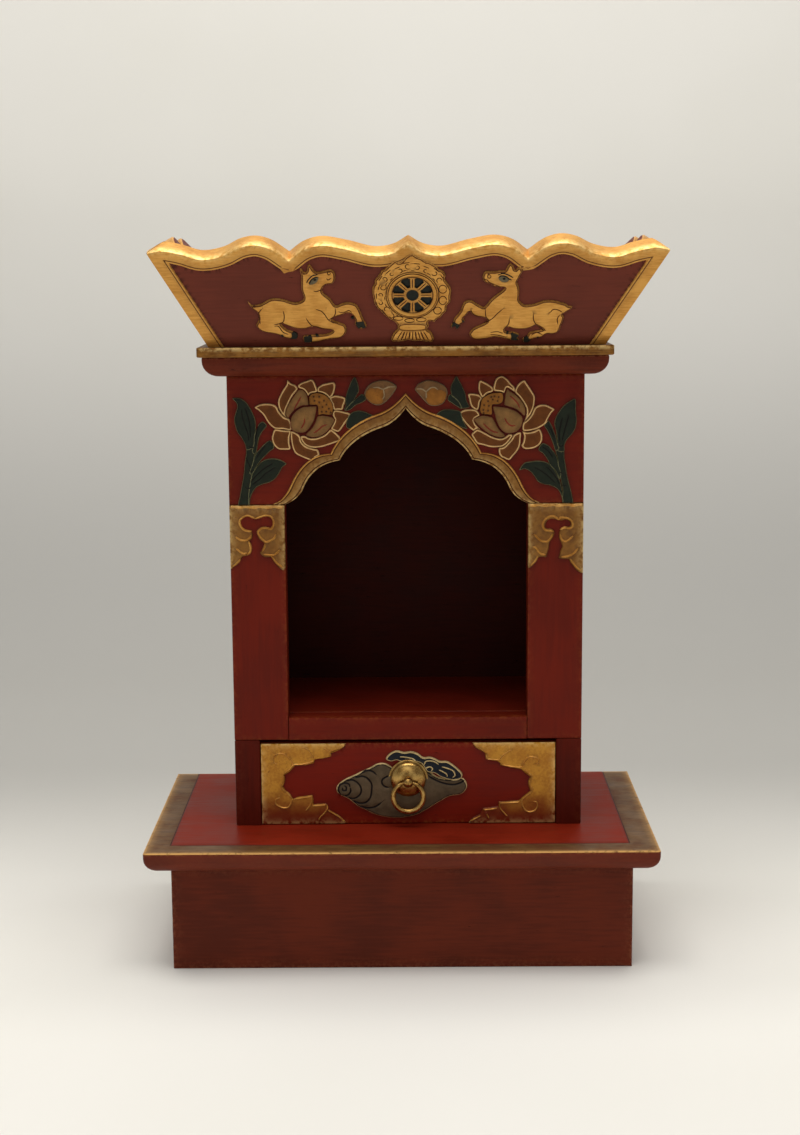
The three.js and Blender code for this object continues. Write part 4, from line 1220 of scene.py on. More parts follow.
def cabinet_inside():
    kinds = {"ground": inner_paint("x"), "back": bare_wood("z")}
    plain_board("cabinet_back_panel", "back_panel", "front", "cabinet", "dark_red_paint", kinds)
    kinds = {"ground": red_lacquer("x"), "back": bare_wood("x")}
    plain_board("niche_floor_board", "niche_floor", "top", "cabinet", "red_lacquer", kinds, arris=0.4)
    plain_board("front_rail", "rail", "front", "cabinet", "red_lacquer", kinds, cell=4)


# ------------------------------------------------------------------ bracketed stiles
BRACKET_LEFT = [
    (-79, 252), (-82.5, 254.5), (-85, 257.5), (-87, 260.3), (-90.5, 260.6), (-93, 262), (-94, 263.5),
    (-92.5, 265), (-91.2, 268), (-91.5, 270), (-94, 272), (-95.2, 274.5), (-95.8, 277.2), (-93.5, 279.6),
    (-90.5, 280.3), (-87, 279.2), (-85.4, 281), (-85, 283.5), (-86.5, 286.2), (-90, 287.3), (-93, 286.8),
    (-96.3, 285), (-99, 286.8), (-101.5, 287.5), (-105, 286.3), (-106.5, 284), (-106, 280.5),
    (-104, 278.5), (-100.5, 277.4), (-99, 277.2), (-98.5, 275.2), (-99, 272.7), (-100.8, 270.6),
    (-100, 268), (-100.2, 264.6), (-101.6, 262), (-105, 261), (-107, 258.5), (-109.5, 255.5),
    (-115, 252.5)]
BRACKET_RIGHT = [
    (116, 248.5), (112, 249), (110, 250), (107.5, 252.5), (105, 255.8), (104, 257.7), (100, 258.2),
    (97.3, 258.8), (98, 261), (98.4, 263.5), (99.6, 266.5), (98.8, 268.8), (97.6, 271.5), (97.4, 274),
    (97.8, 276.2), (99.2, 277.7), (101, 278.6), (103.5, 279), (105, 280.2), (104.5, 282), (102.5, 283.4),
    (100, 283.3), (98.5, 283), (96.5, 283.4), (94, 284), (92, 284), (90, 283), (88.8, 281), (88.6, 278.9),
    (90, 277.8), (92, 277.9), (94, 276.6), (94.5, 275), (94, 273), (92.8, 271), (91.5, 269), (91, 265.5),
    (90, 262), (89.3, 259.4), (87, 259.6), (84.3, 259.2), (83.6, 258), (82, 256), (79.5, 253), (74, 252)]
CORDS_LEFT = [
    [(-96.5, 285.5), (-98.5, 286.5), (-101.5, 287.5), (-105, 286), (-106.5, 284), (-106, 281),
     (-104, 278.5), (-101, 277.5), (-99, 277.5)],
    [(-96.5, 285.5), (-93.5, 286.5), (-90, 287.5), (-87, 287), (-85, 284.5), (-85, 281.5), (-86.5, 279),
     (-90, 279.5), (-93, 279), (-95, 277), (-94, 274.5), (-92, 272), (-90, 270.5), (-87, 271.5),
     (-84.5, 273), (-83.5, 275.5)],
    [(-109.5, 274), (-106.5, 272), (-103, 271.5), (-101, 272.5), (-99, 275)],
    [(-109.5, 266.5), (-107, 264.5), (-104.5, 263), (-102, 263.5)],
    [(-91.5, 262.5), (-88.5, 262), (-85, 262), (-83, 263.5), (-81, 265.5)],
    [(-101, 271), (-100, 268), (-100, 264.5), (-102, 262)],
    [(-90.5, 269.5), (-91, 267), (-92.5, 264.5)],
    [(-111.5, 254.8), (-109, 256.5), (-106.5, 259.5)],
    [(-79.5, 254), (-83, 256.5), (-86.5, 261)],
]
CORDS_RIGHT = [
    [(97, 283.5), (95, 285.5), (92.5, 286), (90, 285), (87.5, 282.5), (87, 280), (88, 277.5), (90, 276.5),
     (92.5, 276.5), (94, 276)],
    [(97, 283.5), (98.5, 285), (101, 285), (104, 284), (106, 281.5), (106, 279), (104.5, 278),
     (101, 278.5), (98, 277)],
    [(81.5, 274.5), (83.5, 272), (86, 270), (89.5, 269.5), (91.5, 271), (93.5, 274.5)],
    [(98.2, 274), (99, 271), (101.5, 269.5), (103.5, 270.5), (106.5, 273)],
    [(80.5, 266), (82, 266), (84, 263.5), (86, 261.5), (89, 261)],
    [(99, 259.5), (103.5, 260), (106.5, 261.5), (109.8, 265)],
    [(79.5, 254), (82, 256.5), (84, 260)],
    [(104.5, 258.2), (108, 253.5), (111.5, 250.4)],
]


def stile_carving(field, cords):
    side = math.copysign(1, field[0][0])
    top = SPRING + 4
    if side < 0:
        shape = field + [(-116, top), (-74, top)]
        inner, outer = -NICHE_HALF, -HALF
    else:
        shape = field + [(74, top), (116, top)]
        inner, outer = NICHE_HALF, HALF
    made = [Region(shape, 0.6, "dull", wall=0.5, dome=0.2, reach=1.6, step=0.7)]
    steps = np.linspace(outer, inner, 12)
    ridge = [(u, SPRING - 1.3 + 0.35 * math.sin(2.3 * i)) for i, u in enumerate(steps)]
    edges = [[(outer - 0.6 * side, SPRING), (outer - 0.6 * side, 254)],
             [(inner + 0.6 * side, SPRING), (inner + 0.6 * side, 254)]]
    made.append(Stroke(ridge, 1.9, 0.9, "gold"))
    made += [Stroke(line, 0.9, 0.3, "dull", sharp=True) for line in edges]
    made += [Stroke(line, 1.35, 0.95, "gold", taper=1.5) for line in cords]
    return made


def stiles():
    kinds = {"ground": red_lacquer("z"), "gold": GILT, "dull": DULL_GILT, "motif": MOTIF,
             "back": inner_paint("z")}
    for side, field, cords in (("left", BRACKET_LEFT, CORDS_LEFT), ("right", BRACKET_RIGHT, CORDS_RIGHT)):
        low, high = box("front_stile_" + side)
        u0, u1 = low[0] - CABINET_X, high[0] - CABINET_X
        shape = [(u0, low[2]), (u1, low[2]), (u1, high[2]), (u0, high[2])]
        board = Board(shape, FRAME_BACK - FACE_Y, stile_carving(field, cords), arris=0.7, cell=2.4)
        piece = board.build("stile_" + side, (CABINET_X, FACE_Y, 0), *FACES["front"], kinds)
        settle(piece, "cabinet", "red_lacquer", "front_stile_" + side)


# ------------------------------------------------------------------ arch board
APEX = 355.2
OGEE = [
    ((0, APEX), (0, 1)), ((6, 347), (0.1, 0.95)), ((13.5, 343.8), (0.25, 0.9)), ((35, 337), (0.5, 0.8)),
    ((42, 322.6), (0.62, 0.42)), ((60, 320), (0.4, 0.75)), ((66, 303.5), (0.75, 0.4)),
    ((70, 297), (0.8, 0)), ((NICHE_HALF, SPRING), (0.75, 0))]
ARCH_BAND = 9.8


def ogee(grow, steps=16):
    """The cusped arch from the left springing to the right one, moved out by grow."""
    p = [np.array(at) + np.array(way) * grow for at, way in OGEE]
    run = [p[0]]
    for a, b, c in zip(p[0::2], p[1::2], p[2::2]):
        for i in range(1, steps + 1):
            t = i / steps
            run.append(a * (1 - t) ** 2 + 2 * b * t * (1 - t) + c * t * t)
    right = np.array(run)
    return np.vstack([mirror(right), right[1:]])


LOTUS_LEFT = {
    "left": [(-95.5, 356.5), (-94, 357.7), (-91.5, 358.6), (-87.5, 359), (-84, 358.5), (-81.5, 357),
             (-80, 354), (-77, 350.5), (-73.7, 349), (-72.2, 345.5), (-72.7, 342), (-77.5, 342.6),
             (-83, 343), (-87, 346.5), (-90, 351.5), (-93, 354.5)],
    "upper_left": [(-74.5, 373.5), (-72, 371.5), (-69.5, 370.5), (-68, 368), (-71, 364), (-73.5, 359.5),
                   (-75.5, 355), (-76, 351.5), (-74.5, 349.3), (-77, 351), (-79.5, 354.5), (-80.5, 357.5),
                   (-80.5, 361), (-79, 364.5), (-77, 368), (-75, 371)],
    "top": [(-68, 370), (-65.5, 372), (-62.5, 373), (-59, 374), (-57.5, 372.5), (-56.5, 370), (-55.8, 368),
            (-55.8, 366.2), (-60, 365), (-61.5, 363.7), (-63, 366), (-64.5, 367.5), (-67, 368.5)],
    "upper_right": [(-55.5, 368.5), (-53, 370.5), (-49.5, 371.5), (-45, 372), (-44.2, 370), (-44.5, 367.5),
                    (-45.5, 364.5), (-48, 362), (-50, 364), (-53, 365.5), (-55.3, 366)],
    "right": [(-48, 362), (-45, 363.7), (-42, 363.5), (-38, 362), (-38, 360), (-39, 357.5), (-40, 354.7),
              (-42.5, 354.6), (-45.3, 354.7), (-46.5, 358.5)],
    "lower_right": [(-45.3, 354.2), (-42.5, 354.3), (-39, 353.5), (-35, 352), (-35.7, 349.5),
                    (-38, 346.5), (-40, 343.5), (-42.5, 340.7), (-45, 341.2), (-47.3, 342.7), (-46, 345.5),
                    (-45, 348.5), (-46.2, 351.3)],
    "bottom_right": [(-47.5, 342.3), (-45, 340.8), (-43, 339), (-41.5, 337), (-42, 335), (-45.5, 333.5),
                     (-50, 332), (-53.5, 331), (-57.5, 330.6), (-61, 331), (-64, 332.5), (-66, 335),
                     (-66.8, 337.8), (-64, 338.3), (-61, 336.9), (-57.5, 336.8), (-54, 337.8), (-51, 339.3)],
    "bottom": [(-72.5, 341.3), (-73, 337.5), (-72.5, 333), (-71.5, 329.5), (-70, 327), (-66.5, 325),
               (-63, 323.5), (-59.5, 322.5), (-57.5, 324.5), (-55, 326), (-56, 329.5), (-58.5, 330.2),
               (-63.5, 332), (-66.2, 335), (-67, 338), (-69, 340)],
    "lower_left": [(-83, 342.5), (-84.5, 339.5), (-85, 336.5), (-84, 333), (-81, 330), (-77.5, 329.5),
                   (-73.2, 330), (-73.6, 333.5), (-73.6, 337.5), (-72.8, 341.3), (-77.5, 342)]}
INNER_LEFT = {
    "inner_left": [(-66, 368), (-68, 367.3), (-70.5, 364), (-73.5, 359.5), (-75.5, 355.5), (-76, 351.7),
                   (-74.2, 349.4), (-72.5, 352), (-69.5, 355), (-65.5, 357.2), (-61.2, 357.8),
                   (-61.2, 360.5), (-61.7, 363.5), (-63, 366), (-64.5, 367.5)],
    "inner_middle": [(-56.2, 357.2), (-58.5, 357.3), (-61, 357.2), (-65.5, 356.7), (-69, 354.5),
                     (-71.5, 352), (-73, 348.5), (-73, 345.5), (-72.4, 342.7), (-71, 341.2), (-68, 340.2),
                     (-65, 340.2), (-62.5, 341.2), (-60.2, 344), (-58, 347.5), (-57, 350.5), (-56.2, 354)],
    "inner_right": [(-44.7, 348.5), (-46, 350), (-49, 351), (-52.5, 351.4), (-55.8, 350.8), (-57, 348),
                    (-58.5, 345), (-60.3, 342.5), (-62.2, 341), (-63.5, 338.7), (-61.5, 337.7),
                    (-58.5, 337.2), (-54.5, 337.7), (-51, 339.7), (-47.7, 343), (-45.7, 346)]}
POD_LEFT = [
    (-61, 363), (-59.5, 364.8), (-56.5, 365.6), (-53, 365.2), (-49.5, 363.5), (-47, 360.5), (-45.7, 357),
    (-45.7, 354.3), (-46.5, 351.9), (-48.5, 351.3), (-52.5, 351.8), (-55.3, 351.3), (-55.5, 354),
    (-56, 357.5), (-58.5, 357.7), (-60.8, 358), (-61, 360)]
SEEDS_LEFT = [
    (-58, 363), (-54.5, 363), (-57.5, 360.5), (-54.5, 359.5), (-51.5, 360.5), (-50, 358), (-52.5, 356.5),
    (-48.5, 355.5), (-53, 353.5), (-50.2, 353.6), (-47.4, 353)]
LOTUS_STROKES_LEFT = [
    [(-66, 363), (-68, 359.5), (-69.5, 357), (-70.5, 355)],
    [(-64, 349.5), (-64, 347.5), (-65, 345), (-66.5, 343)],
    [(-49.5, 345.5), (-52.5, 344.5), (-55.5, 342), (-58.5, 340)]]
GREEN_LEFT = {
    "stem": [(-107, 293), (-106, 300), (-105, 305), (-104, 310), (-103, 316), (-102.5, 321), (-101.5, 327),
             (-101, 330.5), (-96, 332.5), (-96, 327), (-96.5, 322.5), (-97.5, 317), (-98, 313),
             (-98.5, 307.5), (-100, 302), (-100.5, 293)],
    "leaf_top": [(-109.3, 362.2), (-107, 359.5), (-106.5, 357), (-107.5, 353.5), (-108.5, 349.5),
                 (-108, 345), (-106.5, 340.5), (-104, 337), (-102, 333), (-101, 329.5), (-96, 332),
                 (-95.5, 336.5), (-95, 342.5), (-95, 348), (-96.5, 352.5), (-98.5, 356.5), (-101, 360),
                 (-105, 362.5)],
    "leaf_low": [(-76, 320.5), (-79.5, 323), (-83.5, 324), (-89, 323.5), (-92.5, 321.5), (-95.5, 318),
                 (-98, 314), (-99.5, 307.5), (-100.5, 301), (-100.5, 294), (-98.5, 301), (-95.5, 305.5),
                 (-91.5, 307.5), (-86.5, 309), (-83, 311.5), (-80.5, 315), (-78.5, 318.5)],
    "branch_top": [(-90.5, 347.5), (-93, 346), (-94.5, 343), (-96, 339), (-96.5, 333.5), (-97.5, 328),
                   (-95.5, 327), (-94, 332.5), (-93, 337), (-91, 341), (-88, 345)],
    "branch_low": [(-86, 335.5), (-89.5, 333.5), (-92.5, 330.5), (-95.5, 327), (-97.5, 321),
                   (-99.5, 314.5), (-98, 314), (-94.5, 319.5), (-91.5, 323.5), (-89.5, 325.5),
                   (-86.5, 328.5), (-83.5, 331)]}
VEINS_LEFT = [
    [(-99.5, 335.5), (-100, 340), (-102, 346), (-103.5, 352), (-103.5, 355.5)],
    [(-98.5, 337), (-98.5, 342.5), (-99, 348), (-100.5, 353.5), (-101.5, 356.5)],
    [(-99, 309), (-95, 313.5), (-90.5, 317.5), (-84.5, 321)],
    [(-98, 307.5), (-93, 311), (-88.5, 315), (-83, 318.5)],
    [(-101.5, 324.5), (-100, 321), (-98.5, 318)],
    [(-93.5, 344.5), (-94.5, 341), (-95.5, 336.5)],
    [(-89, 332.5), (-92, 329), (-95, 324.5)],
    [(-99.5, 332), (-98, 331), (-96, 331.5)],
    [(-100, 317), (-98.5, 316), (-96.5, 316.5)],
    [(-102.5, 306.5), (-101, 305), (-99, 305.5)]]
LOTUS_RIGHT = {
    "left": [(94, 354), (91.5, 355.7), (88.5, 357), (85, 357), (82, 355.6), (81, 354.3), (79.5, 351),
             (76.7, 347.5), (74.2, 345.5), (73.7, 342.5), (74.2, 340.7), (76.5, 340.3), (81, 341),
             (84.5, 342.3), (88.5, 345), (90, 348), (92, 351.5)],
    "upper_left": [(75, 372.5), (72, 371), (70, 368.5), (69, 365.2), (71.7, 362), (74.2, 358.5),
                   (76.2, 354.5), (76.2, 350.5), (75, 346.3), (76.5, 347.7), (79, 351), (80.8, 355),
                   (81.5, 358.5), (81.5, 362.5), (79.5, 366), (76.5, 370.5)],
    "top": [(60.5, 375.4), (57.5, 374), (56, 371), (55.7, 366.3), (60.5, 365.2), (62.3, 364.7), (64, 368),
            (66.5, 366.7), (68.8, 365.2), (68.8, 368), (66.5, 370.5), (64, 373.5)],
    "upper_right": [(47, 372.5), (46, 370.5), (46, 366.5), (47, 363.7), (48.5, 361.7), (51.5, 364.2),
                    (55.3, 365.8), (55, 368), (52.5, 370), (50, 371.5)],
    "right": [(39.5, 364), (44, 364.2), (46.8, 363.2), (48.3, 361.5), (47, 359), (46.4, 355.5),
              (45.4, 353.8), (42.5, 355), (41, 357), (40, 361)],
    "lower_right": [(34, 352), (35.5, 353.5), (39, 354.5), (43, 354.4), (45.3, 353.4), (46.7, 350.7),
                    (43.3, 348), (44.2, 345), (46.8, 341.9), (45, 342), (43, 340.8), (41.5, 341.6),
                    (39, 344), (36.5, 347), (34.5, 350)],
    "bottom_right": [(47.3, 341), (45, 341.6), (43, 340.2), (41.5, 338.5), (43, 335.5), (45, 332.7),
                     (49, 331.5), (54, 330.2), (58.5, 330.2), (61.5, 330.7), (64.5, 333), (66.8, 336),
                     (67.6, 338), (65, 338.3), (63, 336.8), (60, 335.8), (55.5, 336.8), (51.5, 338.8)],
    "bottom": [(59, 329.7), (59, 326), (60.5, 324), (62.5, 323), (65.5, 322), (68, 324.5), (70.5, 327.5),
               (72.3, 331), (72.8, 335.5), (72.8, 339.5), (70.5, 339.3), (68.2, 337.8), (67.2, 336),
               (64.7, 333), (61.7, 330.3)],
    "lower_left": [(73.7, 340.3), (74.7, 337.5), (74.2, 333.5), (73.3, 331), (75.5, 329), (79, 329),
                   (82.5, 330), (85.5, 332.5), (86.5, 336), (86, 339.5), (84.5, 341.7), (81, 340.3),
                   (76.5, 339.6)]}
INNER_RIGHT = {
    "inner_left": [(64, 367.6), (62.7, 363.5), (62.2, 360), (62.2, 357), (65.5, 355.7), (69.5, 354.2),
                   (72.5, 352), (74.8, 349.8), (75.8, 351), (75.8, 354.5), (74.3, 358.5), (71.8, 361.5),
                   (68.5, 364.3), (65.5, 366.3)],
    "inner_middle": [(55.2, 356.3), (58.5, 356.3), (62.5, 355.8), (66, 354.8), (69.5, 353.4), (72.3, 351.3),
                     (74.2, 348.8), (73.8, 345), (72.8, 342.6), (70.5, 340), (67.5, 339), (64, 339),
                     (61.2, 340.4), (58.7, 343.5), (57.2, 347), (56.2, 350.5), (55.2, 354)],
    "inner_right": [(42.7, 348), (45.5, 349.7), (48.5, 350.7), (52, 350.3), (54.8, 349.3), (56.3, 347),
                    (57.8, 344), (60.2, 340.5), (62.6, 338.7), (62.8, 337), (60, 336.3), (55.5, 337.3),
                    (51.7, 339.2), (48.2, 342), (45.2, 344.7)]}
POD_RIGHT = [
    (48, 361), (50.5, 363), (53.5, 364.4), (57.5, 365), (60.8, 364.8), (61.8, 363), (61.5, 359.2),
    (58.5, 357.2), (55, 357), (54.8, 354), (54.5, 351), (51.5, 350.9), (48, 351.3), (46.7, 354),
    (47.2, 357.5)]
SEEDS_RIGHT = [
    (54, 362), (56, 362.5), (58.7, 362), (55, 360.5), (58, 359.5), (52, 359.5), (49.5, 357), (52.5, 356.5),
    (49, 354), (52, 353.5), (49.3, 352)]
LOTUS_STROKES_RIGHT = [
    [(65.5, 363), (68.5, 360.5), (71, 357.5), (72, 355)],
    [(62.5, 349), (64, 346), (66.5, 344), (69.5, 344)],
    [(49, 345.5), (52, 342.5), (55, 340.5), (58.5, 339.5)]]
GREEN_RIGHT = {
    "stem": [(106, 293), (105.5, 299.5), (104, 305.5), (102.5, 311.5), (101.5, 317.5), (100.5, 323.5),
             (100, 328), (95, 328), (96, 323.5), (96.5, 318.5), (97, 314), (98.5, 308.5), (99.5, 302.5),
             (100, 293)],
    "leaf_top": [(107, 360.5), (103.5, 359), (99.5, 356), (96.5, 352), (94.5, 348), (94, 344.5),
                 (95, 340.5), (95.5, 336.5), (96, 332), (96.5, 327.5), (100.5, 327.5), (100.5, 331),
                 (102, 334.5), (105, 338), (107.5, 342.5), (108, 348), (107.5, 353)],
    "leaf_low": [(72, 315.5), (75, 320), (79, 321), (84, 321.5), (89, 320.5), (92, 318.5), (95, 314.5),
                 (97.5, 309.5), (99, 304), (100, 294), (98.5, 299.5), (96.5, 303), (92, 305.5),
                 (87.5, 306.5), (84, 308), (81.5, 311.5), (79, 314.5), (75.5, 316.3)],
    "branch_top": [(87.5, 344), (89.5, 340.5), (91.5, 336.5), (93.5, 331.5), (95, 327.5), (97, 329),
                   (96, 333), (95, 337), (93.5, 341), (92, 344.5), (90, 347)],
    "branch_low": [(84, 328.5), (87, 326), (89.5, 322.5), (91.5, 318.5), (95, 314.5), (97.5, 309.5),
                   (98.5, 312.5), (97, 318.5), (95.5, 324.5), (93, 328), (90.5, 331), (86.5, 332.5)]}
VEINS_RIGHT = [
    [(97.5, 333.5), (97, 338.5), (98, 344.5), (99, 349)],
    [(99, 334), (100, 339), (101.5, 344.5), (103, 349.5)],
    [(81.5, 317.5), (86, 315), (90.5, 311.5), (94.5, 307.5)],
    [(89, 318), (92.5, 314.5), (95.5, 310.5), (98, 306)],
    [(90, 344.5), (92, 341), (94, 336.5)],
    [(86.5, 330.5), (90.5, 327.5), (93, 323.5)],
    [(96.5, 331.5), (98, 330.5), (100, 331.5)],
    [(97.5, 314.5), (99, 313.5), (100.5, 314)],
    [(98.5, 306), (100, 305.5), (102, 306)]]
BUD_GREENS = {
    "leaf_up_left": [(-32, 375.3), (-34, 373), (-35.5, 369.5), (-37, 365.5), (-38, 361.5), (-38, 357.5),
                     (-39, 354.5), (-37, 354), (-35, 357), (-32.5, 360.5), (-31, 363.5), (-29.5, 366),
                     (-29.5, 369), (-30.5, 372.5)],
    "twig_left": [(-38.5, 354), (-35.5, 358), (-31, 362), (-27.5, 364.5), (-26, 363.5), (-25, 361),
                  (-28, 359), (-31.5, 357.5), (-34.5, 355), (-36.5, 354)],
    "leaf_arch_left": [(-19, 350), (-23, 352), (-26.5, 353.5), (-30.5, 354), (-34.5, 352.5), (-36.5, 350),
                       (-37.5, 347), (-37.5, 343.5), (-35.5, 342.5), (-34, 342.5), (-31.5, 344),
                       (-27.5, 346), (-23.5, 347.5)],
    "leaf_up_right": [(32, 375.3), (30, 372), (28.5, 369), (28.5, 365.5), (29.5, 362.5), (31.5, 359.5),
                      (34, 357), (35.5, 355), (40.5, 356), (39.5, 358), (38.5, 360), (38, 363.5),
                      (36.5, 367.5), (34.5, 371.5)],
    "twig_right": [(28, 364), (31, 362), (34, 359), (35.5, 354.5), (32, 356.5), (29, 358.5),
                   (26.5, 360.5)],
    "leaf_arch_right": [(17, 349), (20, 352), (23, 354), (27.5, 354.5), (31.5, 354), (34.5, 353),
                        (36, 348.5), (37.5, 345), (39, 342), (36.5, 342.5), (31.5, 345), (26, 347),
                        (20.5, 348.5)]}
BUDS = [
    [(-5.5, 369), (-7.5, 371), (-11, 372.7), (-14.5, 373.2), (-18, 372.7), (-22, 371), (-24.5, 368.5),
     (-26, 365.5), (-25.5, 362.5), (-23.5, 360), (-21, 358.2), (-17.5, 357.3), (-14.5, 358), (-12.2, 359.7),
     (-10, 362), (-7.7, 365)],
    [(6, 367), (7.5, 370), (10.5, 372), (14, 373), (18, 372.5), (22, 371), (25, 369), (26.5, 365.5),
     (26, 362), (24, 358.5), (21, 357), (17.5, 356.6), (14.5, 357.5), (12.3, 359.5), (10, 362), (8, 364.5)]]
FRUITS = [
    [(-19.5, 368), (-22, 368.3), (-24.3, 366.5), (-25.2, 363.5), (-23.5, 360.5), (-21, 358.7),
     (-17.5, 358), (-15, 358.8), (-13.7, 361.5), (-13.5, 365), (-14.2, 367.3), (-17, 368.4)],
    [(20, 367), (18, 368.3), (15.5, 367.9), (13.3, 366), (13, 363), (13.2, 360), (14.8, 358), (17.5, 357.2),
     (21, 357.6), (23.6, 359), (25.5, 362), (25.5, 365), (23, 366.8)]]
BUD_LINES = [
    [(-6.5, 369), (-10, 369), (-12.5, 368.2), (-14, 367.5), (-17.5, 368.7), (-20.5, 368.5)],
    [(-14, 367.5), (-13.5, 365), (-13.5, 363), (-14.5, 361)],
    [(7, 367.6), (10.5, 367.5), (13, 366), (15.5, 368), (18, 368.5), (20.5, 367)],
    [(13, 366), (13, 363.5), (13, 361.5)]]


def flower(petals, heart, pod, seeds, strokes):
    made = []
    for shape in petals.values():
        made.append(Region(shape, 0.8, "petal", wall=0.4, dome=0.25, reach=3, rim=1.05, rim_paint="cream",
                           rim_height=0.4, shade=(1.0, 0.7)))
    made.append(Region(pod, 1.0, "pod", wall=0.4, dome=0.5, reach=5, rim=0.4, rim_paint="dot",
                       shade=(0.85, 1.1)))
    for shape in heart.values():
        made.append(Region(shape, 1.2, "inner", wall=0.4, dome=0.5, reach=4, rim=0.5, rim_paint="crimson",
                           rim_height=-0.1, shade=(0.75, 1.1)))
    made += [Region(circle(u, v, 0.55, 0.4), 1.6, "dot", wall=0.2) for u, v in seeds]
    made += [Stroke(line, 0.9, 0.15, "crimson", taper=2) for line in strokes]
    return made


def greenery(shapes, veins):
    made = []
    for shape in shapes.values():
        made.append(Region(shape, 0.75, "leaf", wall=0.4, dome=0.45, reach=2.6, rim=0.45,
                           rim_paint="leaf_light", rim_height=0.1, shade=(0.9, 1.1)))
    made += [Stroke(line, 0.75, -0.25, "vein", taper=2) for line in veins]
    return made


def bud_carving():
    made = greenery(BUD_GREENS, [])
    for bud, fruit in zip(BUDS, FRUITS):
        made.append(Region(bud, 1.0, "bud", wall=0.5, dome=0.9, reach=6, rim=0.6, rim_paint="calyx",
                           shade=(0.85, 1.1)))
        made.append(Region(fruit, 1.3, "pod", wall=0.6, dome=1.0, reach=5, shade=(0.9, 1.15)))
    made += [Stroke(line, 0.8, 0.15, "calyx", taper=1.5) for line in BUD_LINES]
    return made


def arch_board():
    inner = ogee(0)
    out = HALF
    top = BOARD_TOP
    outline = np.vstack([[(-out, SPRING)], inner, [(out, SPRING), (out, top), (-out, top)]])
    outer = ogee(ARCH_BAND)
    carving = greenery(GREEN_LEFT, VEINS_LEFT) + greenery(GREEN_RIGHT, VEINS_RIGHT)
    carving += flower(LOTUS_LEFT, INNER_LEFT, POD_LEFT, SEEDS_LEFT, LOTUS_STROKES_LEFT)
    carving += flower(LOTUS_RIGHT, INNER_RIGHT, POD_RIGHT, SEEDS_RIGHT, LOTUS_STROKES_RIGHT)
    carving += bud_carving()
    under = np.vstack([[(-NICHE_HALF - 2, SPRING - 4)], inner - (0, 2), [(NICHE_HALF + 2, SPRING - 4)]])
    band = np.vstack([outer, under[::-1]])
    carving.append(Region(band, 0.75, "dull", wall=0.5, sharp=True, step=1.0))
    carving.append(Stroke(ogee(ARCH_BAND - 0.7), 0.9, 0.3, "gold", sharp=True, step=1.0))
    for inset in (ARCH_BAND - 2.0, 1.7):
        carving.append(Stroke(ogee(inset), 0.65, -0.3, "gold_line", sharp=True, step=1.0))
    board = Board(resample(outline, True, 1.4), FRAME_BACK - FACE_Y, carving, arris=0.6, sharp=False,
                  cell=2.2)
    kinds = {"ground": red_lacquer("x"), "gold": GILT, "dull": DULL_GILT, "motif": MOTIF,
             "back": inner_paint("x")}
    piece = board.build("arch", (CABINET_X, FACE_Y, 0), *FACES["front"], kinds)
    settle(piece, "cabinet", "red_lacquer", "arch_board")


# ------------------------------------------------------------------ drawer
SCROLL_LEFT = [
    (-39.5, 56), (-42.5, 51.5), (-50, 48.5), (-50.3, 45.3), (-54, 44.4), (-61, 43.4), (-61.6, 41),
    (-67, 39.6), (-74, 39.5), (-76, 36.8), (-78, 35), (-81, 33), (-80.5, 30.5), (-80.8, 28.5), (-82, 25.5),
    (-80, 22), (-77, 19), (-75.5, 17), (-72.5, 18.2), (-63, 19.5), (-62.2, 16.5), (-62.3, 13.2), (-54, 13.8),
    (-52.4, 10), (-48, 7.3), (-44.5, 4.5), (-40, -2)]
SCROLL_RIGHT = [
    (41, 56), (44, 51), (50.3, 47.2), (50.7, 43), (58, 41.7), (60, 40.5), (60.3, 38.8), (67, 37.2),
    (74, 36), (76.5, 33.5), (80, 31), (78.7, 28.5), (78.5, 26), (80, 21.5), (75.5, 18), (72.5, 15),
    (64.5, 14.5), (59.3, 14.3), (58.8, 11), (49, 10), (47, 6), (42, 3.5), (38, -2)]
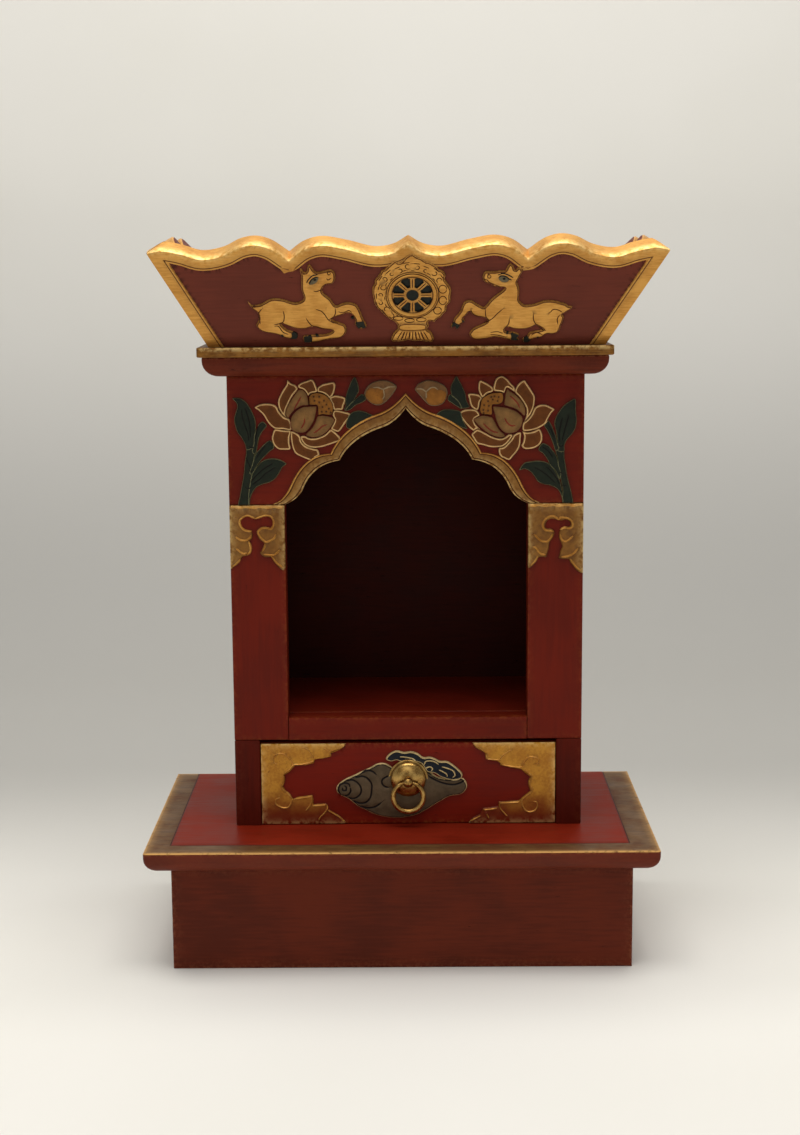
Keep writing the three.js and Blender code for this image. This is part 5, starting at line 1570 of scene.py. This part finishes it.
CORNER_CORDS = [
    [(-87.5, 46.5), (-85.5, 47.5), (-82.5, 48), (-79.5, 46.5), (-77, 44), (-75.5, 41), (-76.5, 38),
     (-79, 36), (-82, 33.5)],
    [(-87.5, 46.5), (-88, 44), (-87, 41.5), (-85.5, 41)],
    [(-69.5, 52), (-67, 51.5), (-64.5, 49.5), (-63, 47), (-61.5, 44.5)],
    [(-55, 51.5), (-53.5, 50.5), (-51.5, 48.5), (-50.5, 46)],
    [(-76, 39.5), (-74, 40.3), (-70.5, 40.3), (-67, 41), (-61.5, 42.5)],
    [(-81.5, 33), (-81.5, 30), (-81.8, 27), (-83, 25), (-81, 22.5), (-78.5, 20.5), (-76.5, 17.5)],
    [(-84, 18), (-86.5, 17), (-87, 14), (-84.5, 12), (-81.5, 11), (-79, 11.5), (-77, 14), (-76, 17)],
    [(-75, 16.8), (-72, 17.3), (-68, 18), (-63.7, 18.4)],
    [(-63.5, 18.8), (-63.2, 16), (-65, 12), (-67.5, 9)],
    [(-63, 12.2), (-58, 12.6), (-54, 12.8)],
    [(-54, 13), (-53, 11), (-55, 7.5), (-57.5, 5), (-59, 2.5)],
    [(-52.5, 9), (-48.5, 6.6), (-45, 4.2), (-41.5, 0.8)],
    [(-50, 48), (-45.5, 50), (-41, 53.2)],
    [(43, 53.2), (46.5, 51), (49.5, 48.4)],
    [(51.2, 47), (51.4, 43.8), (54.5, 43), (60, 42.5)],
    [(60, 43.5), (62.5, 46), (65, 48), (68, 49.5)],
    [(60.8, 40.5), (62, 39.3), (64.5, 38.8), (68.5, 38), (72, 37.6), (75, 38.2)],
    [(75, 39), (76.5, 42), (79, 44.5), (82, 44.5), (85, 43.5), (85, 41), (83.5, 40)],
    [(76, 36), (78.5, 33.8), (81, 31.5), (80.2, 28.5), (79.6, 26), (81, 23), (80, 20.5), (76.5, 17.6),
     (74.4, 15), (75, 11.5), (77.5, 8), (80.5, 7.5), (83, 8.5), (84.5, 11), (84, 14), (82, 14.5)],
    [(60, 13.4), (63.5, 13.6), (68.5, 13.8), (72.5, 14)],
    [(59.8, 13), (60, 10.5), (62.5, 7), (65, 4.5)],
    [(49.5, 9), (53.5, 9.2), (58, 10)],
    [(40.5, 1.2), (43.5, 2.8), (47.5, 5)],
    [(51, 6.5), (53, 3)]]
CONCH_BODY = [
    (-46.5, 25), (-44.5, 27.5), (-41, 30), (-35.5, 32.5), (-30.5, 35), (-25, 37.5), (-20, 40.2),
    (-15.5, 40.5), (-11.5, 38.5), (-7.5, 35), (13, 35), (18.5, 31.5), (26, 29.7), (35.5, 30.2), (38, 26.5),
    (37.8, 23.5), (35, 20.2), (27, 18.5), (20.5, 15), (12.5, 10), (5, 6), (-4, 4.2), (-11.5, 4.2),
    (-20.5, 6), (-28, 9.5), (-33, 12), (-39, 17), (-44, 19.5), (-46.5, 22)]
CONCH_LIP = [
    (-14.5, 43.5), (-12.5, 47), (-7.5, 49.4), (-2.5, 48.3), (2, 48.8), (6.5, 47.3), (10, 44.8), (14.5, 45),
    (18, 43.7), (21, 42.2), (25.5, 42), (29.5, 39.5), (33, 36.5), (35.5, 33.2), (35, 30.7), (31, 29.2),
    (26, 29.7), (21, 31.5), (17.5, 33.8), (12.5, 35), (8.5, 40.5), (4, 42), (-5, 42), (-7.5, 42.8),
    (-11, 42)]
CONCH_LINES = [
    [(-38, 25), (-39, 27.3), (-42, 27.8), (-44.8, 26.3), (-45.7, 23.4), (-44.6, 20.4), (-41.5, 19.3),
     (-38.8, 20.5), (-37.6, 23), (-38, 25)],
    [(-42, 26.3), (-40.5, 25), (-41, 23), (-43, 23.3), (-43, 25)],
    [(-41, 29), (-37, 30), (-33.5, 28.5), (-31, 25), (-31, 21.5), (-33.5, 18.5), (-36.5, 17.5),
     (-39.5, 18.3)],
    [(-34.5, 31.5), (-30, 32.5), (-26.5, 31), (-24, 27.5), (-24, 22.5), (-25, 18), (-28, 14.8),
     (-32, 14.3), (-36, 16)],
    [(-32, 12.2), (-26.5, 11), (-21.5, 12), (-17.5, 15)],
    [(-30.5, 34.6), (-26.5, 36.2), (-23.5, 35.8), (-20.5, 33.5)],
    [(-11.5, 33), (-14.5, 32), (-17, 30), (-17, 27.5), (-15, 25.5), (-12.5, 25)],
    [(13, 32.5), (17.5, 29.8), (23, 27.5), (29.5, 26.5), (34, 27.6), (36.8, 29)]]
CONCH_FRILLS = [
    [(-5.5, 45.5), (-1, 45), (3, 44), (5.5, 42)],
    [(10.5, 40), (11.5, 42), (15, 42.5), (18, 41.5), (20, 40)],
    [(11.3, 37.5), (14.5, 38.5), (16, 37), (15, 35.6)],
    [(22, 38.5), (25.5, 37.5), (29.5, 35.5), (30.5, 32.5), (29, 31)],
    [(20, 36.5), (23, 35), (25.3, 33.2), (25.5, 31.8)]]


def drawer_carving(half, height):
    made = []
    for scroll, side in ((SCROLL_LEFT, -1), (SCROLL_RIGHT, 1)):
        shape = scroll + [(side * (half + 3), -3), (side * (half + 3), height + 3)]
        made.append(Region(shape, 0.65, "dull", wall=0.5, dome=0.2, reach=3, sharp=True, step=0.7))
    made += [Stroke(line, 1.0, 0.75, "gold", taper=1.5) for line in CORNER_CORDS]
    made.append(Region(CONCH_BODY, 0.9, "conch", wall=0.6, dome=1.6, reach=11, rim=0.9,
                       rim_paint="conch_line", shade=(0.8, 1.1)))
    made.append(Stroke(CONCH_BODY, 0.7, 0.4, "frill", closed=True))
    made.append(Region(CONCH_LIP, 1.0, "lip", wall=0.5, dome=0.7, reach=5, rim=0.9, rim_paint="frill",
                       rim_height=0.3))
    made += [Stroke(line, 1.15, -0.4, "conch_line", taper=2) for line in CONCH_LINES]
    made += [Stroke(line, 0.8, 0.25, "frill", taper=1.5) for line in CONCH_FRILLS]
    return made


def drawer_front():
    low, high = box("drawer_front")
    half = (high[0] - low[0]) / 2
    height = high[2] - low[2]
    face = low[1] + RELIEF
    shape = [(-half, 0), (half, 0), (half, height), (-half, height)]
    board = Board(shape, high[1] - face, drawer_carving(half, height), arris=0.6, cell=2.2, step=1.2,
                  back_paint="back")
    kinds = {"ground": drawer_lacquer(), "gold": GILT, "dull": DRAWER_GILT, "motif": MOTIF,
             "back": bare_wood("x")}
    piece = board.build("drawer_face", ((low[0] + high[0]) / 2, face, low[2]), *FACES["front"], kinds)
    settle(piece, "drawer", "red_lacquer", "drawer_front")


def drawer_box():
    along = {"ground": bare_wood("y"), "back": bare_wood("y")}
    across = {"ground": bare_wood("x"), "back": bare_wood("x")}
    for side in ("left", "right"):
        plain_board("drawer_%s_side" % side, "drawer_" + side, side, "drawer", "dark_red_paint", along)
    plain_board("drawer_back", "drawer_rear", "back", "drawer", "dark_red_paint", across)
    plain_board("drawer_bottom", "drawer_floor", "top", "drawer", "dark_red_paint", across, arris=0.4)


# ------------------------------------------------------------------ brass pull
PULL_X = middle("pull_ring")[0]
PLATE_Y = box("pull_rosette")[1][1]
PULL_Z = middle("pull_rosette")[2]
EYE = 8.6
RING_R = 9.8


def lathe(profile, segments=96):
    """Points and faces of a turned shape."""
    points = []
    for r, h in profile:
        for i in range(segments):
            a = 2 * math.pi * i / segments
            points.append((r * math.cos(a), r * math.sin(a), h))
    faces = []
    for k in range(len(profile) - 1):
        for i in range(segments):
            j = (i + 1) % segments
            a, b = k * segments, (k + 1) * segments
            faces.append((a + i, a + j, b + j, b + i))
    return points, faces


def brass_mesh(name, points, faces, grime, brass):
    mesh = bpy.data.meshes.new(name)
    mesh.from_pydata([tuple(MM * x for x in p) for p in points], [], faces)
    mesh.materials.append(brass)
    mesh.attributes.new("grime", "FLOAT", "POINT").data.foreach_set("value", grime)
    bm = bmesh.new()
    bm.from_mesh(mesh)
    bmesh.ops.remove_doubles(bm, verts=bm.verts[:], dist=1e-7)
    bmesh.ops.recalc_face_normals(bm, faces=bm.faces[:])
    bm.to_mesh(mesh)
    bm.free()
    return mesh


def rosette(brass):
    """A round plate with a thin flange, a smooth full dome and a post with an eye."""
    plate, dome, high = 13.0, 11.6, 5.9
    profile = [(0.01, 0), (plate - 0.2, 0), (plate, 0.3), (plate, 0.9), (plate - 0.4, 1.25),
               (dome + 0.15, 1.15)]
    for i in range(15):
        t = math.pi / 2 * i / 16
        profile.append((dome * math.cos(t), 1.2 + (high - 1.2) * math.sin(t)))
    profile += [(1.9, 5.95), (2.0, 6.2), (2.7, 6.8), (3.3, 7.6), (3.5, 8.6), (3.3, 9.9), (2.8, 11.0),
                (1.9, 11.8), (0.9, 12.2), (0.01, 12.3)]
    points, faces = lathe(profile)
    # Darkening in the crease round the dome and at the post's foot: tarnish and painted shade.
    grime = []
    for x, y, h in points:
        r = math.hypot(x, y)
        ditch = math.exp(-abs(r - dome - 0.2) / 0.35) if h < 2 else 0
        grime.append(min(1.0, ditch + 0.7 * math.exp(-abs(h - 6.1) / 0.25)))
    turned = [(PULL_X + x, PLATE_Y - h, PULL_Z + y) for x, y, h in points]
    mesh = brass_mesh("pull_plate", turned, faces, grime, brass)
    piece = finish_piece("pull_plate", mesh, 50)
    bore_through(piece)
    settle(piece, "drawer", "polished_brass", "pull_rosette")


def bore_through(piece):
    """The eye of the post: a cross bore that the ring passes through."""
    bm = bmesh.new()
    bmesh.ops.create_cone(bm, cap_ends=True, segments=28, radius1=1.8 * MM, radius2=1.8 * MM, depth=16 * MM)
    turn = Matrix.Rotation(math.pi / 2, 4, "Y")
    move = Matrix.Translation(Vector((PULL_X, PLATE_Y - EYE, PULL_Z)) * MM)
    bm.transform(move @ turn)
    tool_mesh = bpy.data.meshes.new("bore")
    bm.to_mesh(tool_mesh)
    bm.free()
    tool = bpy.data.objects.new("bore", tool_mesh)
    bpy.context.scene.collection.objects.link(tool)
    cut = piece.modifiers.new("bore", "BOOLEAN")
    cut.object = tool
    cut.operation = "DIFFERENCE"
    cut.solver = "EXACT"
    seen = bpy.context.evaluated_depsgraph_get()
    mesh = bpy.data.meshes.new_from_object(piece.evaluated_get(seen))
    piece.modifiers.clear()
    piece.data = mesh
    bpy.data.objects.remove(tool)


def pull_ring(brass):
    """A cast ring, thin where it hangs in the eye."""
    wire, pin, around, turns = 1.7, 1.0, 20, 120
    points = []
    faces = []
    grime = []
    for i in range(turns):
        a = 2 * math.pi * i / turns
        off = abs(math.remainder(a, 2 * math.pi))
        thick = pin + (wire - pin) * float(ease((off - 0.42) / 0.3))
        for j in range(around):
            b = 2 * math.pi * j / around
            r = RING_R + thick * math.cos(b)
            points.append((PULL_X + r * math.sin(a), PLATE_Y - EYE + thick * math.sin(b),
                           PULL_Z - RING_R + r * math.cos(a)))
            # Darkening where the ring hangs in the eye: soiling and painted shade between the parts.
            grime.append(0.5 * math.exp(-abs(off - 0.6) / 0.12))
            n, m = (i + 1) % turns, (j + 1) % around
            faces.append((i * around + j, n * around + j, n * around + m, i * around + m))
    mesh = brass_mesh("pull_ring_wire", points, faces, grime, brass)
    piece = finish_piece("pull_ring_wire", mesh, 60)
    settle(piece, "ring", "polished_brass", "pull_ring")


# ------------------------------------------------------------------ floor, light and camera
def studio_paper():
    g = Graph("studio_paper", 0.85, specular=0.2)
    tone = g.noise(300, 2, 0.5)
    fine = g.noise(2, 2, 0.5)
    split = g.node("ShaderNodeSeparateXYZ")
    g.link(g.place, split.inputs[0])
    body = g.mix(g.span(tone, 0.3, 0.7), (0.80, 0.78, 0.72), (0.82, 0.80, 0.745))
    # Painted shade: the paper darkens behind the object toward the bend, in place of the light falling off
    # there.
    behind = g.span(split.outputs[1], -0.08, 0.42)
    above = g.span(split.outputs[2], 0.03, 0.62, 1.0, 0.0)
    body = g.mix(g.math("MULTIPLY", behind, above), body, (0.39, 0.38, 0.355))
    return g.finish(body, None, g.bump(fine, 0.05, 0.3))


def backdrop():
    """A sheet of pale paper that runs back under the object and sweeps up behind it."""
    bend, rise, wide, front, back = 0.5, 3.2, 3.5, -3.2, 0.75
    line = [(front, 0.0), (front / 2, 0.0), (0.0, 0.0), (back, 0.0)]
    for i in range(1, 17):
        t = math.pi / 2 * i / 16
        line.append((back + bend * math.sin(t), bend * (1 - math.cos(t))))
    line.append((back + bend, rise))
    columns = 9
    points = []
    for y, z in line:
        for k in range(columns):
            points.append((wide * (2 * k / (columns - 1) - 1), y, z))
    faces = []
    for i in range(len(line) - 1):
        for k in range(columns - 1):
            a = i * columns + k
            faces.append((a, a + 1, a + columns + 1, a + columns))
    mesh = bpy.data.meshes.new("backdrop")
    mesh.from_pydata(points, [], faces)
    mesh.materials.append(studio_paper())
    mesh.shade_smooth()
    sheet = bpy.data.objects.new("backdrop", mesh)
    bpy.context.scene.collection.objects.link(sheet)


def softbox(name, place, target, width, height, power, colour=(1, 1, 1)):
    light = bpy.data.lights.new(name, "AREA")
    light.shape = "RECTANGLE"
    light.size, light.size_y = width, height
    light.energy = power
    light.color = colour
    lamp = bpy.data.objects.new(name, light)
    lamp.location = place
    aim = Vector(target) - Vector(place)
    lamp.rotation_euler = aim.to_track_quat("-Z", "Y").to_euler()
    bpy.context.scene.collection.objects.link(lamp)


def lights():
    softbox("top_box", (0.0, -0.25, 2.1), (0.0, 0.0, 0.0), 1.6, 1.2, 33, (1, 0.98, 0.95))
    softbox("front_box", (-0.2, -2.6, 1.5), (0.0, 0.0, 0.25), 1.8, 1.2, 7.5, (1, 0.985, 0.96))
    softbox("wall_box", (0.0, 0.2, 2.6), (0.0, 1.3, 1.6), 2.4, 0.5, 17, (1, 0.99, 0.96))
    world = bpy.data.worlds.new("studio")
    world.use_nodes = True
    world.node_tree.nodes["Background"].inputs["Color"].default_value = (0.96, 0.97, 1.0, 1.0)
    world.node_tree.nodes["Background"].inputs["Strength"].default_value = 0.32
    bpy.context.scene.world = world
    bpy.context.scene.view_settings.view_transform = "Standard"


def camera():
    """The photograph's view: level with the top of the crown, looking down on the base."""
    data = bpy.data.cameras.new("view")
    data.sensor_fit = "VERTICAL"
    data.sensor_height = 36
    data.lens = 58.55
    data.clip_end = 50
    eye = bpy.data.objects.new("view", data)
    place = Matrix.Translation((0.0049, -1.2009, 0.4501))
    turn = Matrix.Rotation(0.0055, 4, "Z") @ Matrix.Rotation(math.radians(90 - 9.572), 4, "X")
    eye.matrix_world = place @ turn @ Matrix.Rotation(-0.0075, 4, "Z")
    bpy.context.scene.collection.objects.link(eye)
    bpy.context.scene.camera = eye


# ------------------------------------------------------------------ the whole
def main():
    camera()
    lights()
    backdrop()
    plinth()
    base_slab()
    cabinet_sides()
    cabinet_inside()
    stiles()
    arch_board()
    cornice()
    ledge()
    crown_front()
    crown_side(-1)
    crown_side(1)
    drawer_front()
    drawer_box()
    brass = polished_brass()
    rosette(brass)
    pull_ring(brass)


main()
